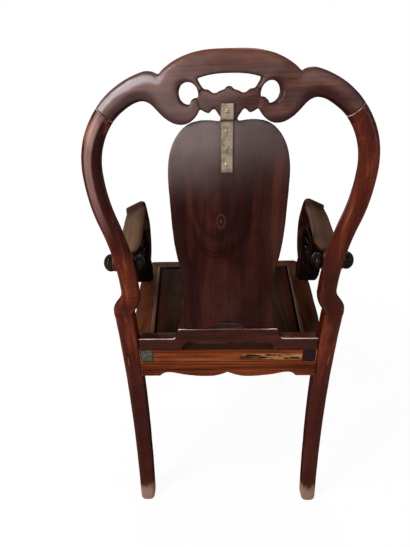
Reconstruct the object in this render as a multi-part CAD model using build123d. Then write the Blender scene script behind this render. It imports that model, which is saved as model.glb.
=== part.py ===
from build123d import *
import os
from math import acos, cos, degrees, radians, sin, tan

# A hardwood armchair with a balloon back: two rear legs bend up into a hoop that a pierced crest rail
# closes, a wide splat stands on a hump-backed rail, and flat arms roll over and curl down to the seat.
# +Z is up, the sitter faces -Y, and X = 0 is the plane of symmetry. While the pieces are made, Y = 0 is
# the middle of the rear feet; write_parts() then sets the origin under the middle of the chair's box.

os.makedirs("parts", exist_ok=True)

# ------------------------------------------------------------------ sizes, mm
OVERALL_HEIGHT = 1001.5      # floor to the top of the crest rail
SEAT_HEIGHT = 460.0          # floor to the top of the seat frame
SEAT_FRONT = 463.0           # rear feet's middle to the front edge of the seat frame
FIT = 0.15                   # clearance round a tenon, each side
TENON_SHOULDER = 1.0         # how far a tenon starts inside its own piece
GLUE_LINE = 0.05             # gap between two faces that are glued together

# rear legs
LEG_SPREAD = 204.5           # centre plane to the middle of a rear leg
LEG_WIDTH = 36.0             # across the chair
LEG_DEPTH = 36.0             # front to back
LEG_CORNER = 7.0             # rounding of the square leg's edges
LEG_FLAT = 1.0               # planed off the leg where rails and aprons meet it
FOOT_TAPER = 2.0             # how much narrower the leg is at the floor
LEG_BOW = 24.0               # how far the leg bows forward of its foot
LEG_BOW_HEIGHT = 270.0       # height of the furthest point of that bow
KNEE_HEIGHT = 566.0          # where the leg ends and the round post begins
KNEE_SETBACK = 3.0           # how far the knee stands behind the foot
KNEE_STEP = 46.0             # height over which leg and post pass into one another

# hoop of the back, drawn in the raked plane of the back
BACK_RAKE = 4.87             # degrees from upright
HOOP_HALF = 221.0            # centre plane to the post's middle at the hoop's widest
HOOP_WAIST_HALF = 187.0      # the same, just above the knee
HOOP_DROP = 171.5            # top of the crest rail down to the hoop's widest place
HOOP_TOP_RADIUS = 136.0      # bend of the hoop's shoulders
HOOP_SIDE_RADIUS = 300.0     # bend below the widest place
HOOP_WAIST_RADIUS = 480.0    # counter-bend above the knee
POST_WIDTH_LOW = 35.0
POST_WIDTH_HIGH = 30.5
POST_DEPTH = 32.0
POST_ROUNDING = 14.5         # corner radius that makes the post all but round
SEAM_ANGLE = 41.5            # degrees round the shoulder where the post meets the crest rail

# crest rail
CREST_THICKNESS = 29.0
BAT_THICKNESS = 21.0
BAT_DROP = 64.0              # top of the crest rail down to the middle of the thinned field round the bat
BAT_HALF_WIDTH = 46.5
BAT_HALF_HEIGHT = 30.0
EYELET_OUT = 59.7            # centre plane to the middle of an eyelet
EYELET_DROP = 56.1           # top of the crest rail down to there
EYELET_HALF_WIDTH = 14.5
EYELET_HALF_HEIGHT = 15.9
HOOK_RADIUS = 8.8            # hooked tip of the lobe that stands in the eyelet
HOOK_INWARD = 10.2           # eyelet's middle to the hook's
HOOK_BELOW = 15.4
TONGUE_WIDTH = 12.0          # loose tongue in the seam, across the post
TONGUE_THICKNESS = 10.0
TONGUE_LENGTH = 44.0
PIN_RADIUS = 2.5
PIN_LENGTH = 19.0
PIN_SINK = 3.0               # the pin's end lies this far below the front of the post
PIN_EASE = 0.02              # a pin or screw is thinner than its hole by this much all round

# splat
SPLAT_THICKNESS = 12.0
SPLAT_DROP = 91.5            # top of the crest rail down to the splat's shoulder under the bat
SPLAT_FORWARD = 4.5          # splat stands this far in front of the back's middle plane
SPLAT_FOOT = 8.0             # stock left below the splat before its tenons are cut
SPLAT_TENON_THICKNESS = 6.0
SPLAT_TENON_LENGTH = 12.0
SPLAT_TENON_WIDTH = 18.0
SPLAT_NECK_HALF = 13.0       # half width of the neck that joins splat and bat
SPLAT_ARCH_HALF = 35.5       # half width of the little arch at the splat's foot
SPLAT_ARCH_RISE = 18.0
SPLAT_FOOT_TENON_AT = 62.0   # centre plane to the middle of a foot tenon
SPLAT_FOOT_TENON_WIDTH = 40.0

# hump-backed rail under the splat
HUMP_DEPTH = 26.0
HUMP_END_HEIGHT = 29.0       # height of the rail at its ends
HUMP_TOP = 52.5              # top of the hump above the seat frame
HUMP_SLOT = 19.0             # height of the slot below the hump
HUMP_FLAT_HALF = 96.0        # half the length of the hump
HUMP_STEP = 18.0             # length of the curve from end to hump

# seat frame
FRAME_THICKNESS = 29.5
REAR_RAIL_DEPTH = 30.0
FRONT_RAIL_DEPTH = 47.0
SEAT_REAR_INSET = 1.5        # seat frame's corner inside the middle of the rear leg
SEAT_WIDE_HALF = 238.0       # half width where the side rails bow out most
SEAT_WIDE_AT = 322.0         # distance of that place from the rear feet
SEAT_FRONT_HALF = 228.0
PANEL_REAR_HALF = 160.0      # half width of the open panel at the rear
PANEL_FRONT_HALF = 193.0
SIDE_TENON_WIDTH = 26.0      # through-tenon of a side rail in the rear rail
RAIL_TENON = 20.0            # depth of a rail's tenon in a leg
RAIL_TENON_THICKNESS = 12.0
RAIL_TENON_STEP = 4.0        # a rail's tenon is this much lower than the rail, above and below
BOARD_THICKNESS = 12.0
BOARD_SINK = 2.0             # seat boards lie this far below the frame
BOARD_GROOVE = 6.5           # depth of the groove that holds the boards
BOARD_TONGUE = 5.0
BOARD_JOINT = 0.3
BATTEN_WIDTH = 32.0
BATTEN_THICKNESS = 15.0
BLOCK_SIZE = 34.0            # corner blocks
BATTEN_PLACES = (-150.0, -300.0)  # from the rear feet's middle
LEG_GAP = 8.0                # length of the side rail's straight shoulder at the rear leg
FRAME_EDGE = 4.0             # rounding of the frame's outer edges

# aprons
APRON_HEIGHT = 38.5
APRON_THICKNESS = 15.0
APRON_LIFT = 9.0             # how far the ogee rises from the apron's lower edge

# front legs
FRONT_LEG_TOP = 40.0         # side of the square under the seat
FRONT_KNEE = 45.0
FRONT_ANKLE = 27.0
FRONT_FOOT_WIDTH = 38.0
FRONT_FOOT_LENGTH = 30.0
TOE_REACH = 50.0             # toe's distance in front of the seat's front edge
FRONT_LEG_CORNER = 6.0
FRONT_LEG_INSET = 4.0        # the leg stands this far inside the frame's edges
FRONT_TENON = 18.0
APRON_INSET = 8.0            # aprons stand this far inside the frame's edges

# arms
ARM_RISE = 241.0             # seat frame up to the arm's level stretch
ARM_BAND = 18.0              # thickness of the band
ARM_LEVEL = 78.0             # length of the level stretch behind the curl
ARM_CURL_RADIUS = 105.0      # outside of the curl in front
ARM_CURL_SETBACK = 199.0     # seat's front edge back to the middle of the curl
ARM_CURL_END = 232.0         # degrees round the curl where the band lands on the bracket
ARM_TILT = 25.0              # degrees by which the band slopes down to the outside
ARM_END_HALF = 23.0          # half width of the band where it meets the roll
ARM_END_LAP = 4.0            # the band runs this far behind the roll's middle
ROLL_RADIUS = 17.0           # rolled rear end of the arm
ROLL_RISE = 191.0            # seat frame up to the middle of the roll
ROLL_LENGTH = 45.0
ROLL_OUTSET = 12.0           # middle of the post outward to the middle of the roll
BOSS_LENGTH = 15.0
BOSS_DOME = 13.0
DOWEL_RADIUS = 5.0
DOWEL_LENGTH = 26.0
DOWEL_OUTSET = 2.0           # middle of the post outward to the dowel

# scroll brackets in the arms' curls
SCROLL_RADIUS = 68.0
SCROLL_RISE = 103.0          # seat frame up to the middle of the scroll
SCROLL_THICKNESS = 26.0
SCROLL_INSET = 20.0          # bracket's middle inside the seat's widest edge
SCROLL_RIM = 15.0            # width of the ring outside the outer slot
SCROLL_SLOT = 9.0
SCROLL_EYE = 22.0            # radius of the disc inside the inner slot
SCROLL_EYE_SLOT = 7.0
SCROLL_LAP = 8.0             # degrees by which the bracket runs up behind the band's end
SCROLL_FOOT_SETBACK = 112.0  # seat's front edge back to the front of the bracket's foot
SCROLL_FOOT_LENGTH = 30.0
SCROLL_TENON = 14.0
SCROLL_TENON_STEP = 5.0      # the tenon is this much slighter than the foot, on every side

# brass mending plate
PLATE_OFFSET = 3.0           # plate stands this far to the left of the centre plane
PLATE_WIDTH = 20.5
PLATE_WAIST = 1.5            # the strap below the crank is narrower by this much
PLATE_THICKNESS = 2.2
PLATE_ABOVE = 23.0           # length of the plate above its crank, on the bat
PLATE_BELOW = 81.0           # length below, on the splat
SCREW_HEAD_RADIUS = 3.2
SCREW_RADIUS = 1.6
SCREW_HEAD = 1.2
SCREW_LENGTH = 8.0
UPPER_SCREW = 12.5           # above the crank
LOWER_SCREWS = (-17.0, -43.0, -68.0)

# ------------------------------------------------------------------ derived places
RAKE = radians(BACK_RAKE)
BACK_FOOT_Y = KNEE_SETBACK - KNEE_HEIGHT * tan(RAKE)
BACK = Plane(origin=(0, BACK_FOOT_Y, 0), x_dir=(1, 0, 0), z_dir=(0, -cos(RAKE), sin(RAKE)))
SPLAT_PLANE = BACK.offset(SPLAT_FORWARD)
HOOP_WIDEST_HEIGHT = OVERALL_HEIGHT - HOOP_DROP
SPLAT_TOP = OVERALL_HEIGHT - SPLAT_DROP
HOOP_SWING = acos(1 - (HOOP_HALF - HOOP_WAIST_HALF) / (HOOP_SIDE_RADIUS + HOOP_WAIST_RADIUS))
FRAME_BOTTOM = SEAT_HEIGHT - FRAME_THICKNESS
APRON_BOTTOM = FRAME_BOTTOM - APRON_HEIGHT
SLOT_TOP = SEAT_HEIGHT + HUMP_SLOT
HUMP_CREST = SEAT_HEIGHT + HUMP_TOP
SEAT_REAR_HALF = LEG_SPREAD - SEAT_REAR_INSET
ARM_TOP = SEAT_HEIGHT + ARM_RISE
ARM_CURL_Y = ARM_CURL_SETBACK - SEAT_FRONT
ARM_CURL_Z = ARM_TOP - ARM_CURL_RADIUS
ARM_FALL_Y = ARM_CURL_Y + ARM_LEVEL
ROLL_HEIGHT = SEAT_HEIGHT + ROLL_RISE
ROLL_X = HOOP_WAIST_HALF + ROLL_OUTSET
SCROLL_X = SEAT_WIDE_HALF - SCROLL_INSET
SCROLL_Z = SEAT_HEIGHT + SCROLL_RISE
SCROLL_FOOT_FRONT = SCROLL_FOOT_SETBACK - SEAT_FRONT
SCROLL_FOOT_REAR = SCROLL_FOOT_FRONT + SCROLL_FOOT_LENGTH
FRONT_LEG_X = SEAT_FRONT_HALF - FRONT_LEG_INSET - FRONT_LEG_TOP / 2
PLATE_STEP = SPLAT_TOP - GLUE_LINE
BAT_FACE = -BAT_THICKNESS / 2 - GLUE_LINE
SPLAT_FACE = SPLAT_FORWARD - SPLAT_THICKNESS / 2 - GLUE_LINE


def up(height):
    """Distance along the raked back for a height above the floor."""
    return height / cos(RAKE)


def back_y(height):
    """Y of the middle plane of the back at a height."""
    return BACK_FOOT_Y + height * tan(RAKE)


def leg_y(height):
    """Y of the rear leg's middle: an arc through the foot, the bow and the knee."""
    bow = LEG_BOW_HEIGHT
    b = (KNEE_SETBACK + LEG_BOW * KNEE_HEIGHT / bow) / (KNEE_HEIGHT * (KNEE_HEIGHT - bow))
    a = -LEG_BOW / bow - b * bow
    return a * height + b * height * height


def solid_of(shape):
    """The single solid that a boolean leaves."""
    return shape.solids()[0] if len(shape.solids()) == 1 else shape


def mirrored(shape):
    """The same piece on the chair's other side."""
    return mirror(shape, about=Plane.YZ)


def both_sides(edges):
    """Edges of a half outline and their mirror images."""
    return edges + [edge.mirror(Plane.YZ) for edge in edges]


REAR_FACE = leg_y(FRAME_BOTTOM) + LEG_DEPTH / 2
REAR_RAIL_FRONT = REAR_FACE - REAR_RAIL_DEPTH
PANEL_FRONT = FRONT_RAIL_DEPTH - SEAT_FRONT
FRONT_LEG_Y = -SEAT_FRONT + FRONT_LEG_INSET + FRONT_LEG_TOP / 2
SIDE_SHOULDER = leg_y(APRON_BOTTOM) - LEG_DEPTH / 2 + LEG_FLAT  # side rails and aprons end here
ROLL_Y = back_y(ROLL_HEIGHT) - (POST_DEPTH / 2 + ROLL_RADIUS + GLUE_LINE) / cos(RAKE)
ARM_FALL = ARM_TOP - ROLL_HEIGHT - ROLL_RADIUS + (SCROLL_X - ROLL_X) * tan(radians(ARM_TILT))
ARM_FALL_RADIUS = ((ROLL_Y - ARM_FALL_Y) ** 2 + ARM_FALL ** 2) / (2 * ARM_FALL)


# ------------------------------------------------------------------ rear legs
def hoop_stations():
    """Middle points (x, distance up the back, heading) of the post from the knee to the seam."""
    widest = up(HOOP_WIDEST_HEIGHT)
    start = widest - (HOOP_SIDE_RADIUS + HOOP_WAIST_RADIUS) * sin(HOOP_SWING)
    stations = []
    for step in range(4):
        turn = HOOP_SWING * step / 4
        x = HOOP_WAIST_HALF + HOOP_WAIST_RADIUS * (1 - cos(turn))
        stations.append((x, start + HOOP_WAIST_RADIUS * sin(turn), turn))
    for step in range(4):
        turn = HOOP_SWING * (1 - step / 4)
        x = HOOP_HALF - HOOP_SIDE_RADIUS * (1 - cos(turn))
        stations.append((x, widest - HOOP_SIDE_RADIUS * sin(turn), turn))
    for step in range(5):
        turn = radians(SEAM_ANGLE) * step / 4
        x = HOOP_HALF - HOOP_TOP_RADIUS * (1 - cos(turn))
        stations.append((x, widest + HOOP_TOP_RADIUS * sin(turn), -turn))
    return stations


def post_section(x, rise, heading, width):
    """Cross-section of the post, square to its run in the plane of the back."""
    origin = BACK.from_local_coords((x, rise, 0))
    along = BACK.from_local_coords((x + sin(heading), rise + cos(heading), 0)) - origin
    across = BACK.from_local_coords((x + cos(heading), rise - sin(heading), 0)) - origin
    return Plane(origin=origin, x_dir=across, z_dir=along) * RectangleRounded(width, POST_DEPTH, POST_ROUNDING)


def leg_section(height):
    """Cross-section of the square leg at a height."""
    taper = FOOT_TAPER * max(0, 1 - height / LEG_BOW_HEIGHT)
    plane = Plane(origin=(LEG_SPREAD, leg_y(height), height), x_dir=(1, 0, 0), z_dir=(0, 0, 1))
    return plane * RectangleRounded(LEG_WIDTH - taper, LEG_DEPTH - taper, LEG_CORNER)


def leg_flats():
    """Slivers planed off the left leg where rails and aprons meet it."""
    inside = LEG_SPREAD - LEG_WIDTH / 2
    low = APRON_BOTTOM - LEG_FLAT
    high = SEAT_HEIGHT + HUMP_END_HEIGHT + LEG_FLAT
    rails = Pos(inside - LEG_CORNER, 0, (low + high) / 2) * Box(2 * LEG_CORNER, 2 * LEG_DEPTH, high - low)
    front = SIDE_SHOULDER - LEG_DEPTH / 2
    return rails + Pos(LEG_SPREAD, front, (low + high) / 2) * Box(2 * LEG_WIDTH, LEG_DEPTH, high - low)


def make_rear_leg():
    """Left rear leg and hoop post, one bent timber from the foot to the crest seam."""
    leg_top = KNEE_HEIGHT - KNEE_STEP / 4
    sections = [leg_section(leg_top * step / 6) for step in range(7)]
    stations = hoop_stations()
    for index, (x, rise, heading) in enumerate(stations):
        share = index / (len(stations) - 1)
        width = POST_WIDTH_LOW + (POST_WIDTH_HIGH - POST_WIDTH_LOW) * share
        sections.append(post_section(x, rise, heading, width))
    leg = loft(sections) - leg_flats()
    mortises = [rear_rail_tenon(FIT), hump_rail_tenon(FIT), arm_dowel(GLUE_LINE)]
    for cut in mortises + [seam_tongue(FIT), seam_pin(-1, 0)]:
        leg -= cut
    return solid_of(leg)


def shoulder(radius, angle):
    """Point of the shoulder's circle in the plane of the back, at degrees from level."""
    x = HOOP_HALF - HOOP_TOP_RADIUS + radius * cos(radians(angle))
    return x, up(HOOP_WIDEST_HEIGHT) + radius * sin(radians(angle))


def seam_tongue(clearance):
    """Loose tongue across the crest seam, grown by a clearance."""
    x, rise = shoulder(HOOP_TOP_RADIUS, SEAM_ANGLE)
    heading = radians(SEAM_ANGLE)
    origin = BACK.from_local_coords((x, rise, 0))
    along = BACK.from_local_coords((x - sin(heading), rise + cos(heading), 0)) - origin
    across = BACK.from_local_coords((x + cos(heading), rise + sin(heading), 0)) - origin
    plane = Plane(origin=origin, x_dir=across, z_dir=along)
    grow = 2 * clearance
    return plane * Box(TONGUE_WIDTH + grow, TONGUE_THICKNESS + grow, TONGUE_LENGTH + grow)


def seam_pin(side_of_seam, clearance):
    """Pin that locks the tongue, on one side of the seam, bored in from the front."""
    turn = degrees(TONGUE_LENGTH / 4 / HOOP_TOP_RADIUS) * side_of_seam
    x, rise = shoulder(HOOP_TOP_RADIUS, SEAM_ANGLE + turn)
    seat = BACK.from_local_coords((x, rise, POST_DEPTH / 2 - PIN_LENGTH / 2 - PIN_SINK))
    return Plane(origin=seat, x_dir=(1, 0, 0), z_dir=BACK.z_dir) * Cylinder(PIN_RADIUS + clearance, PIN_LENGTH)


# ------------------------------------------------------------------ crest rail
def b(x, height):
    """A point of the back's plane from its X and its height above the floor."""
    return x, up(height)


def c(x, drop):
    """A point of the back's plane from its X and its drop below the crest rail's top."""
    return b(x, OVERALL_HEIGHT - drop)


def s(x, drop):
    """A point of the back's plane from its X and its drop below the splat's top."""
    return b(x, SPLAT_TOP - drop)


def f(x, rise):
    """A point of the back's plane from its X and its height above the hump-backed rail."""
    return b(x, HUMP_CREST + rise)


def crest_outline():
    """Half of the crest rail's outline: arched top, ear, seam, underside with its lobe, wing and neck."""
    half_post = POST_WIDTH_HIGH / 2
    outer = HOOP_TOP_RADIUS + half_post
    inner = HOOP_TOP_RADIUS - half_post
    notch = c(102, 30.4)
    ear = shoulder(outer, 75)
    armpit = c(43.2, 76)
    wing_tip = c(29.6, 83)
    wing_notch = c(21.9, 76.2)
    neck = s(SPLAT_NECK_HALF, -3)
    top = Spline(c(0, 0), c(44, 2.3), c(72, 10.3), c(89.5, 19.6), notch, tangents=[(1, 0), (0.62, -0.78)])
    ear_arc = ThreePointArc(notch, c(111.5, 26.2), ear)
    shoulder_top = ThreePointArc(ear, shoulder(outer, 58), shoulder(outer, SEAM_ANGLE))
    seam = Line(shoulder(outer, SEAM_ANGLE), shoulder(inner, SEAM_ANGLE))
    along_post = (-sin(radians(SEAM_ANGLE)), cos(radians(SEAM_ANGLE)))
    lobe = Spline(shoulder(inner, SEAM_ANGLE), c(156, 75.8), c(144, 68.8), c(134, 65.2), c(128, 64.5),
                  c(121, 66.2), c(112.4, 72.4), c(104.2, 81.2), c(92.5, 91.2), c(74, 98), c(57.5, 93.4),
                  c(48.6, 85.4), armpit, tangents=[along_post, (-0.4, 0.92)])
    wing_edge = ThreePointArc(armpit, c(37.5, 80.2), wing_tip)
    wing_inner = ThreePointArc(wing_tip, c(26.2, 79), wing_notch)
    body = Line(wing_notch, neck)
    neck_side = Line(neck, s(SPLAT_NECK_HALF, 0))
    neck_foot = Line(s(SPLAT_NECK_HALF, 0), s(0, 0))
    return [top, ear_arc, shoulder_top, seam, lobe, wing_edge, wing_inner, body, neck_side, neck_foot]


def fan_outline():
    """Half of the opening over the bat: an arched top, and the bat's wings and head below."""
    corner = c(46.7, 36.4)
    wrist = c(36.6, 51.3)
    top = Spline(c(0, 30.2), c(30, 32.2), corner, tangents=[(1, 0), (0.95, -0.3)])
    strand = ThreePointArc(corner, c(42.3, 44.2), wrist)
    bat = Spline(wrist, c(30.4, 51.6), c(25.8, 55.4), c(19.4, 56.5), c(14.3, 53.5), c(8.6, 51.9), c(4.4, 48.8),
                 c(0, 47.3), tangents=[(-0.9, 0.1), (-1, 0)])
    return [top, strand, bat]


def eyelet():
    """Comma-shaped hole beside the bat: an oval with the hooked tip of the lobe standing in it."""
    oval = Location(c(EYELET_OUT, EYELET_DROP)) * Ellipse(EYELET_HALF_WIDTH, EYELET_HALF_HEIGHT)
    hook = Location(c(EYELET_OUT - HOOK_INWARD, EYELET_DROP + HOOK_BELOW)) * Circle(HOOK_RADIUS)
    return oval - hook


def make_crest_rail():
    """Crest rail with its pierced bat, cut for the splat's tenon, the tongues, pins and screws."""
    outline = make_face(both_sides(crest_outline()))
    outline -= make_face(both_sides(fan_outline()))
    hole = eyelet()
    outline -= hole
    outline -= hole.mirror(Plane.YZ)
    crest = BACK * extrude(outline, CREST_THICKNESS / 2, both=True)
    for face_side in (1, -1):
        level = face_side * (BAT_THICKNESS / 2 + CREST_THICKNESS / 2)
        field = Location(c(0, BAT_DROP)) * Ellipse(BAT_HALF_WIDTH, BAT_HALF_HEIGHT)
        crest -= BACK * (Location((0, 0, level)) * extrude(field, CREST_THICKNESS / 2, both=True))
    crest -= splat_tenon(FIT)
    for tongue in (seam_tongue(FIT), mirrored(seam_tongue(FIT))):
        crest -= tongue
    for pin in (seam_pin(1, 0), mirrored(seam_pin(1, 0))):
        crest -= pin
    for shank in plate_screw_shanks(PIN_EASE):
        crest -= shank
    return solid_of(crest)


# ------------------------------------------------------------------ splat and its rail
def splat_outline():
    """Half of the splat's outline: neck, shoulder, long taper and flaring foot."""
    collar = SPLAT_NECK_HALF + 1.5
    neck = Line(s(0, GLUE_LINE), s(SPLAT_NECK_HALF, GLUE_LINE))
    step = Line(s(SPLAT_NECK_HALF, GLUE_LINE), s(collar, 5))
    side = Spline(s(collar, 5), s(30, 2.4), s(47, 3), s(60, 6.5), s(77, 19), s(91, 42), s(97.5, 68),
                  s(99.3, 98), s(99, 130), s(97.5, 190), f(92, 157.5), f(85.5, 124.5), f(82.5, 99.5),
                  f(84.5, 72.5), f(90.5, 42.5), f(99, -SPLAT_FOOT), tangents=[(1, 0.3), (0.2, -1)])
    base = Line(f(99, -SPLAT_FOOT), f(0, -SPLAT_FOOT))
    return [neck, step, side, base]


def splat_tenon(clearance):
    """Stub tenon on the splat's neck, up into the bat."""
    grow = 2 * clearance
    block = Box(SPLAT_TENON_WIDTH + grow, 2 * SPLAT_TENON_LENGTH + grow, SPLAT_TENON_THICKNESS + grow)
    return SPLAT_PLANE * (Location(s(0, 0)) * block)


def splat_foot_tenons(clearance):
    """Two tenons under the splat, down into the hump-backed rail."""
    grow = 2 * clearance
    y = back_y(HUMP_CREST) - SPLAT_FORWARD
    block = Box(SPLAT_FOOT_TENON_WIDTH + grow, SPLAT_TENON_THICKNESS + grow, 2 * SPLAT_TENON_LENGTH + grow)
    return [Pos(side * SPLAT_FOOT_TENON_AT, y, HUMP_CREST) * block for side in (1, -1)]


def make_splat():
    """Splat with the little arch at its foot and its tenons."""
    half = SPLAT_ARCH_HALF
    splat = SPLAT_PLANE * extrude(make_face(both_sides(splat_outline())), SPLAT_THICKNESS / 2, both=True)
    arch = make_face([
        ThreePointArc(f(-half, 0), f(0, SPLAT_ARCH_RISE), f(half, 0)),
        Line(f(half, 0), f(half, -2 * SPLAT_FOOT)),
        Line(f(half, -2 * SPLAT_FOOT), f(-half, -2 * SPLAT_FOOT)),
        Line(f(-half, -2 * SPLAT_FOOT), f(-half, 0)),
    ])
    splat -= SPLAT_PLANE * extrude(arch, SPLAT_THICKNESS, both=True)
    rail_space = Box(2 * HUMP_FLAT_HALF + 2 * HUMP_STEP, 4 * HUMP_DEPTH, 2 * HUMP_DEPTH)
    splat -= Pos(0, back_y(HUMP_CREST), HUMP_CREST - HUMP_DEPTH + GLUE_LINE) * rail_space
    splat += splat_tenon(0)
    for tenon in splat_foot_tenons(0):
        splat += tenon
    for shank in plate_screw_shanks(PIN_EASE):
        splat -= shank
    return solid_of(splat)


def make_hump_rail():
    """Rail at the foot of the back: level ends, an S-step each side and a raised middle with a slot below."""
    end = LEG_SPREAD - LEG_WIDTH / 2 - GLUE_LINE
    end_top = SEAT_HEIGHT + HUMP_END_HEIGHT
    step_mid = HUMP_FLAT_HALF + HUMP_STEP / 2
    step_end = HUMP_FLAT_HALF + HUMP_STEP
    middle_top = (end_top + HUMP_CREST) / 2
    bottom = SEAT_HEIGHT + GLUE_LINE
    outline = [
        Line((0, HUMP_CREST), (HUMP_FLAT_HALF, HUMP_CREST)),
        Spline((HUMP_FLAT_HALF, HUMP_CREST), (step_mid, middle_top), (step_end, end_top),
               tangents=[(1, -0.2), (1, 0)]),
        Line((step_end, end_top), (end, end_top)),
        Line((end, end_top), (end, bottom)),
        Line((end, bottom), (HUMP_FLAT_HALF, bottom)),
        Spline((HUMP_FLAT_HALF, bottom), (HUMP_FLAT_HALF - 8, bottom + 0.75 * HUMP_SLOT),
               (HUMP_FLAT_HALF - 20, SLOT_TOP), tangents=[(-0.3, 1), (-1, 0)]),
        Line((HUMP_FLAT_HALF - 20, SLOT_TOP), (0, SLOT_TOP)),
    ]
    plane = Plane(origin=(0, REAR_FACE, 0), x_dir=(1, 0, 0), z_dir=(0, -1, 0))
    rail = extrude(plane * make_face(both_sides(outline)), HUMP_DEPTH)
    for tenon in splat_foot_tenons(FIT):
        rail -= tenon
    for tenon in (hump_rail_tenon(0), mirrored(hump_rail_tenon(0))):
        rail += tenon
    return solid_of(rail)


# ------------------------------------------------------------------ seat frame
def side_line(inset=0.0):
    """Bowed outer edge of a side rail in plan, moved in by an inset."""
    rear = REAR_RAIL_FRONT - LEG_GAP
    points = [(SEAT_REAR_HALF, rear), (SEAT_REAR_HALF + 4, -68), (SEAT_REAR_HALF + 13, -112),
              (SEAT_REAR_HALF + 23, -200), (SEAT_WIDE_HALF, -SEAT_WIDE_AT), (SEAT_FRONT_HALF, -SEAT_FRONT)]
    return Spline([(x - inset, y) for x, y in points])


def panel_half(y):
    """Half width of the opening for the boards at a distance from the rear feet."""
    share = (REAR_RAIL_FRONT - y) / (REAR_RAIL_FRONT - PANEL_FRONT)
    return PANEL_REAR_HALF + (PANEL_FRONT_HALF - PANEL_REAR_HALF) * share


def panel_prism(grow, low, high):
    """The opening for the boards as a solid, grown sideways, between two heights."""
    rear = REAR_RAIL_FRONT + grow
    front = PANEL_FRONT - grow
    corners = [(panel_half(rear) + grow, rear), (panel_half(front) + grow, front),
               (-panel_half(front) - grow, front), (-panel_half(rear) - grow, rear)]
    plane = Plane(origin=(0, 0, low), x_dir=(1, 0, 0), z_dir=(0, 0, 1))
    return extrude(plane * make_face(Polyline(corners, close=True)), high - low)


def board_groove(clearance):
    """Tongue round the seat boards, or the groove for it when grown by a clearance."""
    middle = SEAT_HEIGHT - BOARD_SINK - BOARD_THICKNESS / 2
    half = BOARD_TONGUE / 2 + clearance
    return panel_prism(BOARD_GROOVE + 2 * clearance, middle - half, middle + half)


def side_tenon(clearance):
    """Through-tenon of the left side rail in the rear rail."""
    grow = 2 * clearance
    height = FRAME_THICKNESS - 2 * TENON_SHOULDER
    block = Box(SIDE_TENON_WIDTH + grow, REAR_RAIL_DEPTH + 2 * TENON_SHOULDER, height + grow)
    middle = SEAT_HEIGHT - FRAME_THICKNESS / 2
    return Pos(PANEL_REAR_HALF + SIDE_TENON_WIDTH / 2 - 3, REAR_FACE - REAR_RAIL_DEPTH / 2, middle) * block


def leg_tenon(height, front, thickness, drop, clearance):
    """Tenon of a cross rail in the left rear leg."""
    grow = 2 * clearance
    inside = LEG_SPREAD - LEG_WIDTH / 2
    block = Box(RAIL_TENON + TENON_SHOULDER + clearance, thickness + grow, drop + grow)
    return Pos(inside + (RAIL_TENON - TENON_SHOULDER + clearance) / 2, front, height) * block


def rear_rail_tenon(clearance):
    """Tenon of the seat frame's rear rail in the left rear leg."""
    middle = SEAT_HEIGHT - FRAME_THICKNESS / 2
    height = FRAME_THICKNESS - 2 * RAIL_TENON_STEP
    return leg_tenon(middle, REAR_FACE - REAR_RAIL_DEPTH / 2, RAIL_TENON_THICKNESS, height, clearance)


def hump_rail_tenon(clearance):
    """Tenon of the hump-backed rail in the left rear leg."""
    middle = SEAT_HEIGHT + HUMP_END_HEIGHT / 2
    height = HUMP_END_HEIGHT - 2 * RAIL_TENON_STEP
    return leg_tenon(middle, REAR_FACE - HUMP_DEPTH / 2, RAIL_TENON_THICKNESS, height, clearance)


def front_leg_tenon(clearance):
    """Tenon on the front leg, up into the mitre of the frame."""
    grow = 2 * clearance
    block = Box(FRONT_TENON + grow, FRONT_TENON + grow, FRONT_TENON + grow)
    return Pos(FRONT_LEG_X, FRONT_LEG_Y, FRAME_BOTTOM + FRONT_TENON / 2 - TENON_SHOULDER) * block


def batten(y, clearance):
    """Batten across under the boards, with stub tenons into the side rails."""
    top = SEAT_HEIGHT - BOARD_SINK - BOARD_THICKNESS - GLUE_LINE
    block = Pos(0, y, top - BATTEN_THICKNESS / 2) * Box(2 * SEAT_WIDE_HALF, BATTEN_WIDTH, BATTEN_THICKNESS)
    bar = block & panel_prism(-GLUE_LINE, FRAME_BOTTOM - BATTEN_THICKNESS, SEAT_HEIGHT)
    reach = 2 * (panel_half(y) + BOARD_GROOVE)
    grow = 2 * clearance
    tenon = Box(reach + grow, BATTEN_WIDTH / 2 + grow, BATTEN_THICKNESS / 2 + grow)
    return bar, Pos(0, y, top - BATTEN_THICKNESS / 2) * tenon


def make_rear_rail():
    """Rear rail of the seat frame between the rear legs."""
    half = LEG_SPREAD - LEG_WIDTH / 2 - GLUE_LINE
    middle = SEAT_HEIGHT - FRAME_THICKNESS / 2
    rail = Pos(0, REAR_FACE - REAR_RAIL_DEPTH / 2, middle) * Box(2 * half, REAR_RAIL_DEPTH, FRAME_THICKNESS)
    rail -= board_groove(FIT)
    for tenon in (side_tenon(FIT), mirrored(side_tenon(FIT))):
        rail -= tenon
    for tenon in (rear_rail_tenon(0), mirrored(rear_rail_tenon(0))):
        rail += tenon
    return solid_of(rail)


def round_outer(rail, chosen):
    """Rounds the long outer edges of a rail, above and below."""
    return fillet(rail.edges().filter_by(chosen), FRAME_EDGE)


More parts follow.
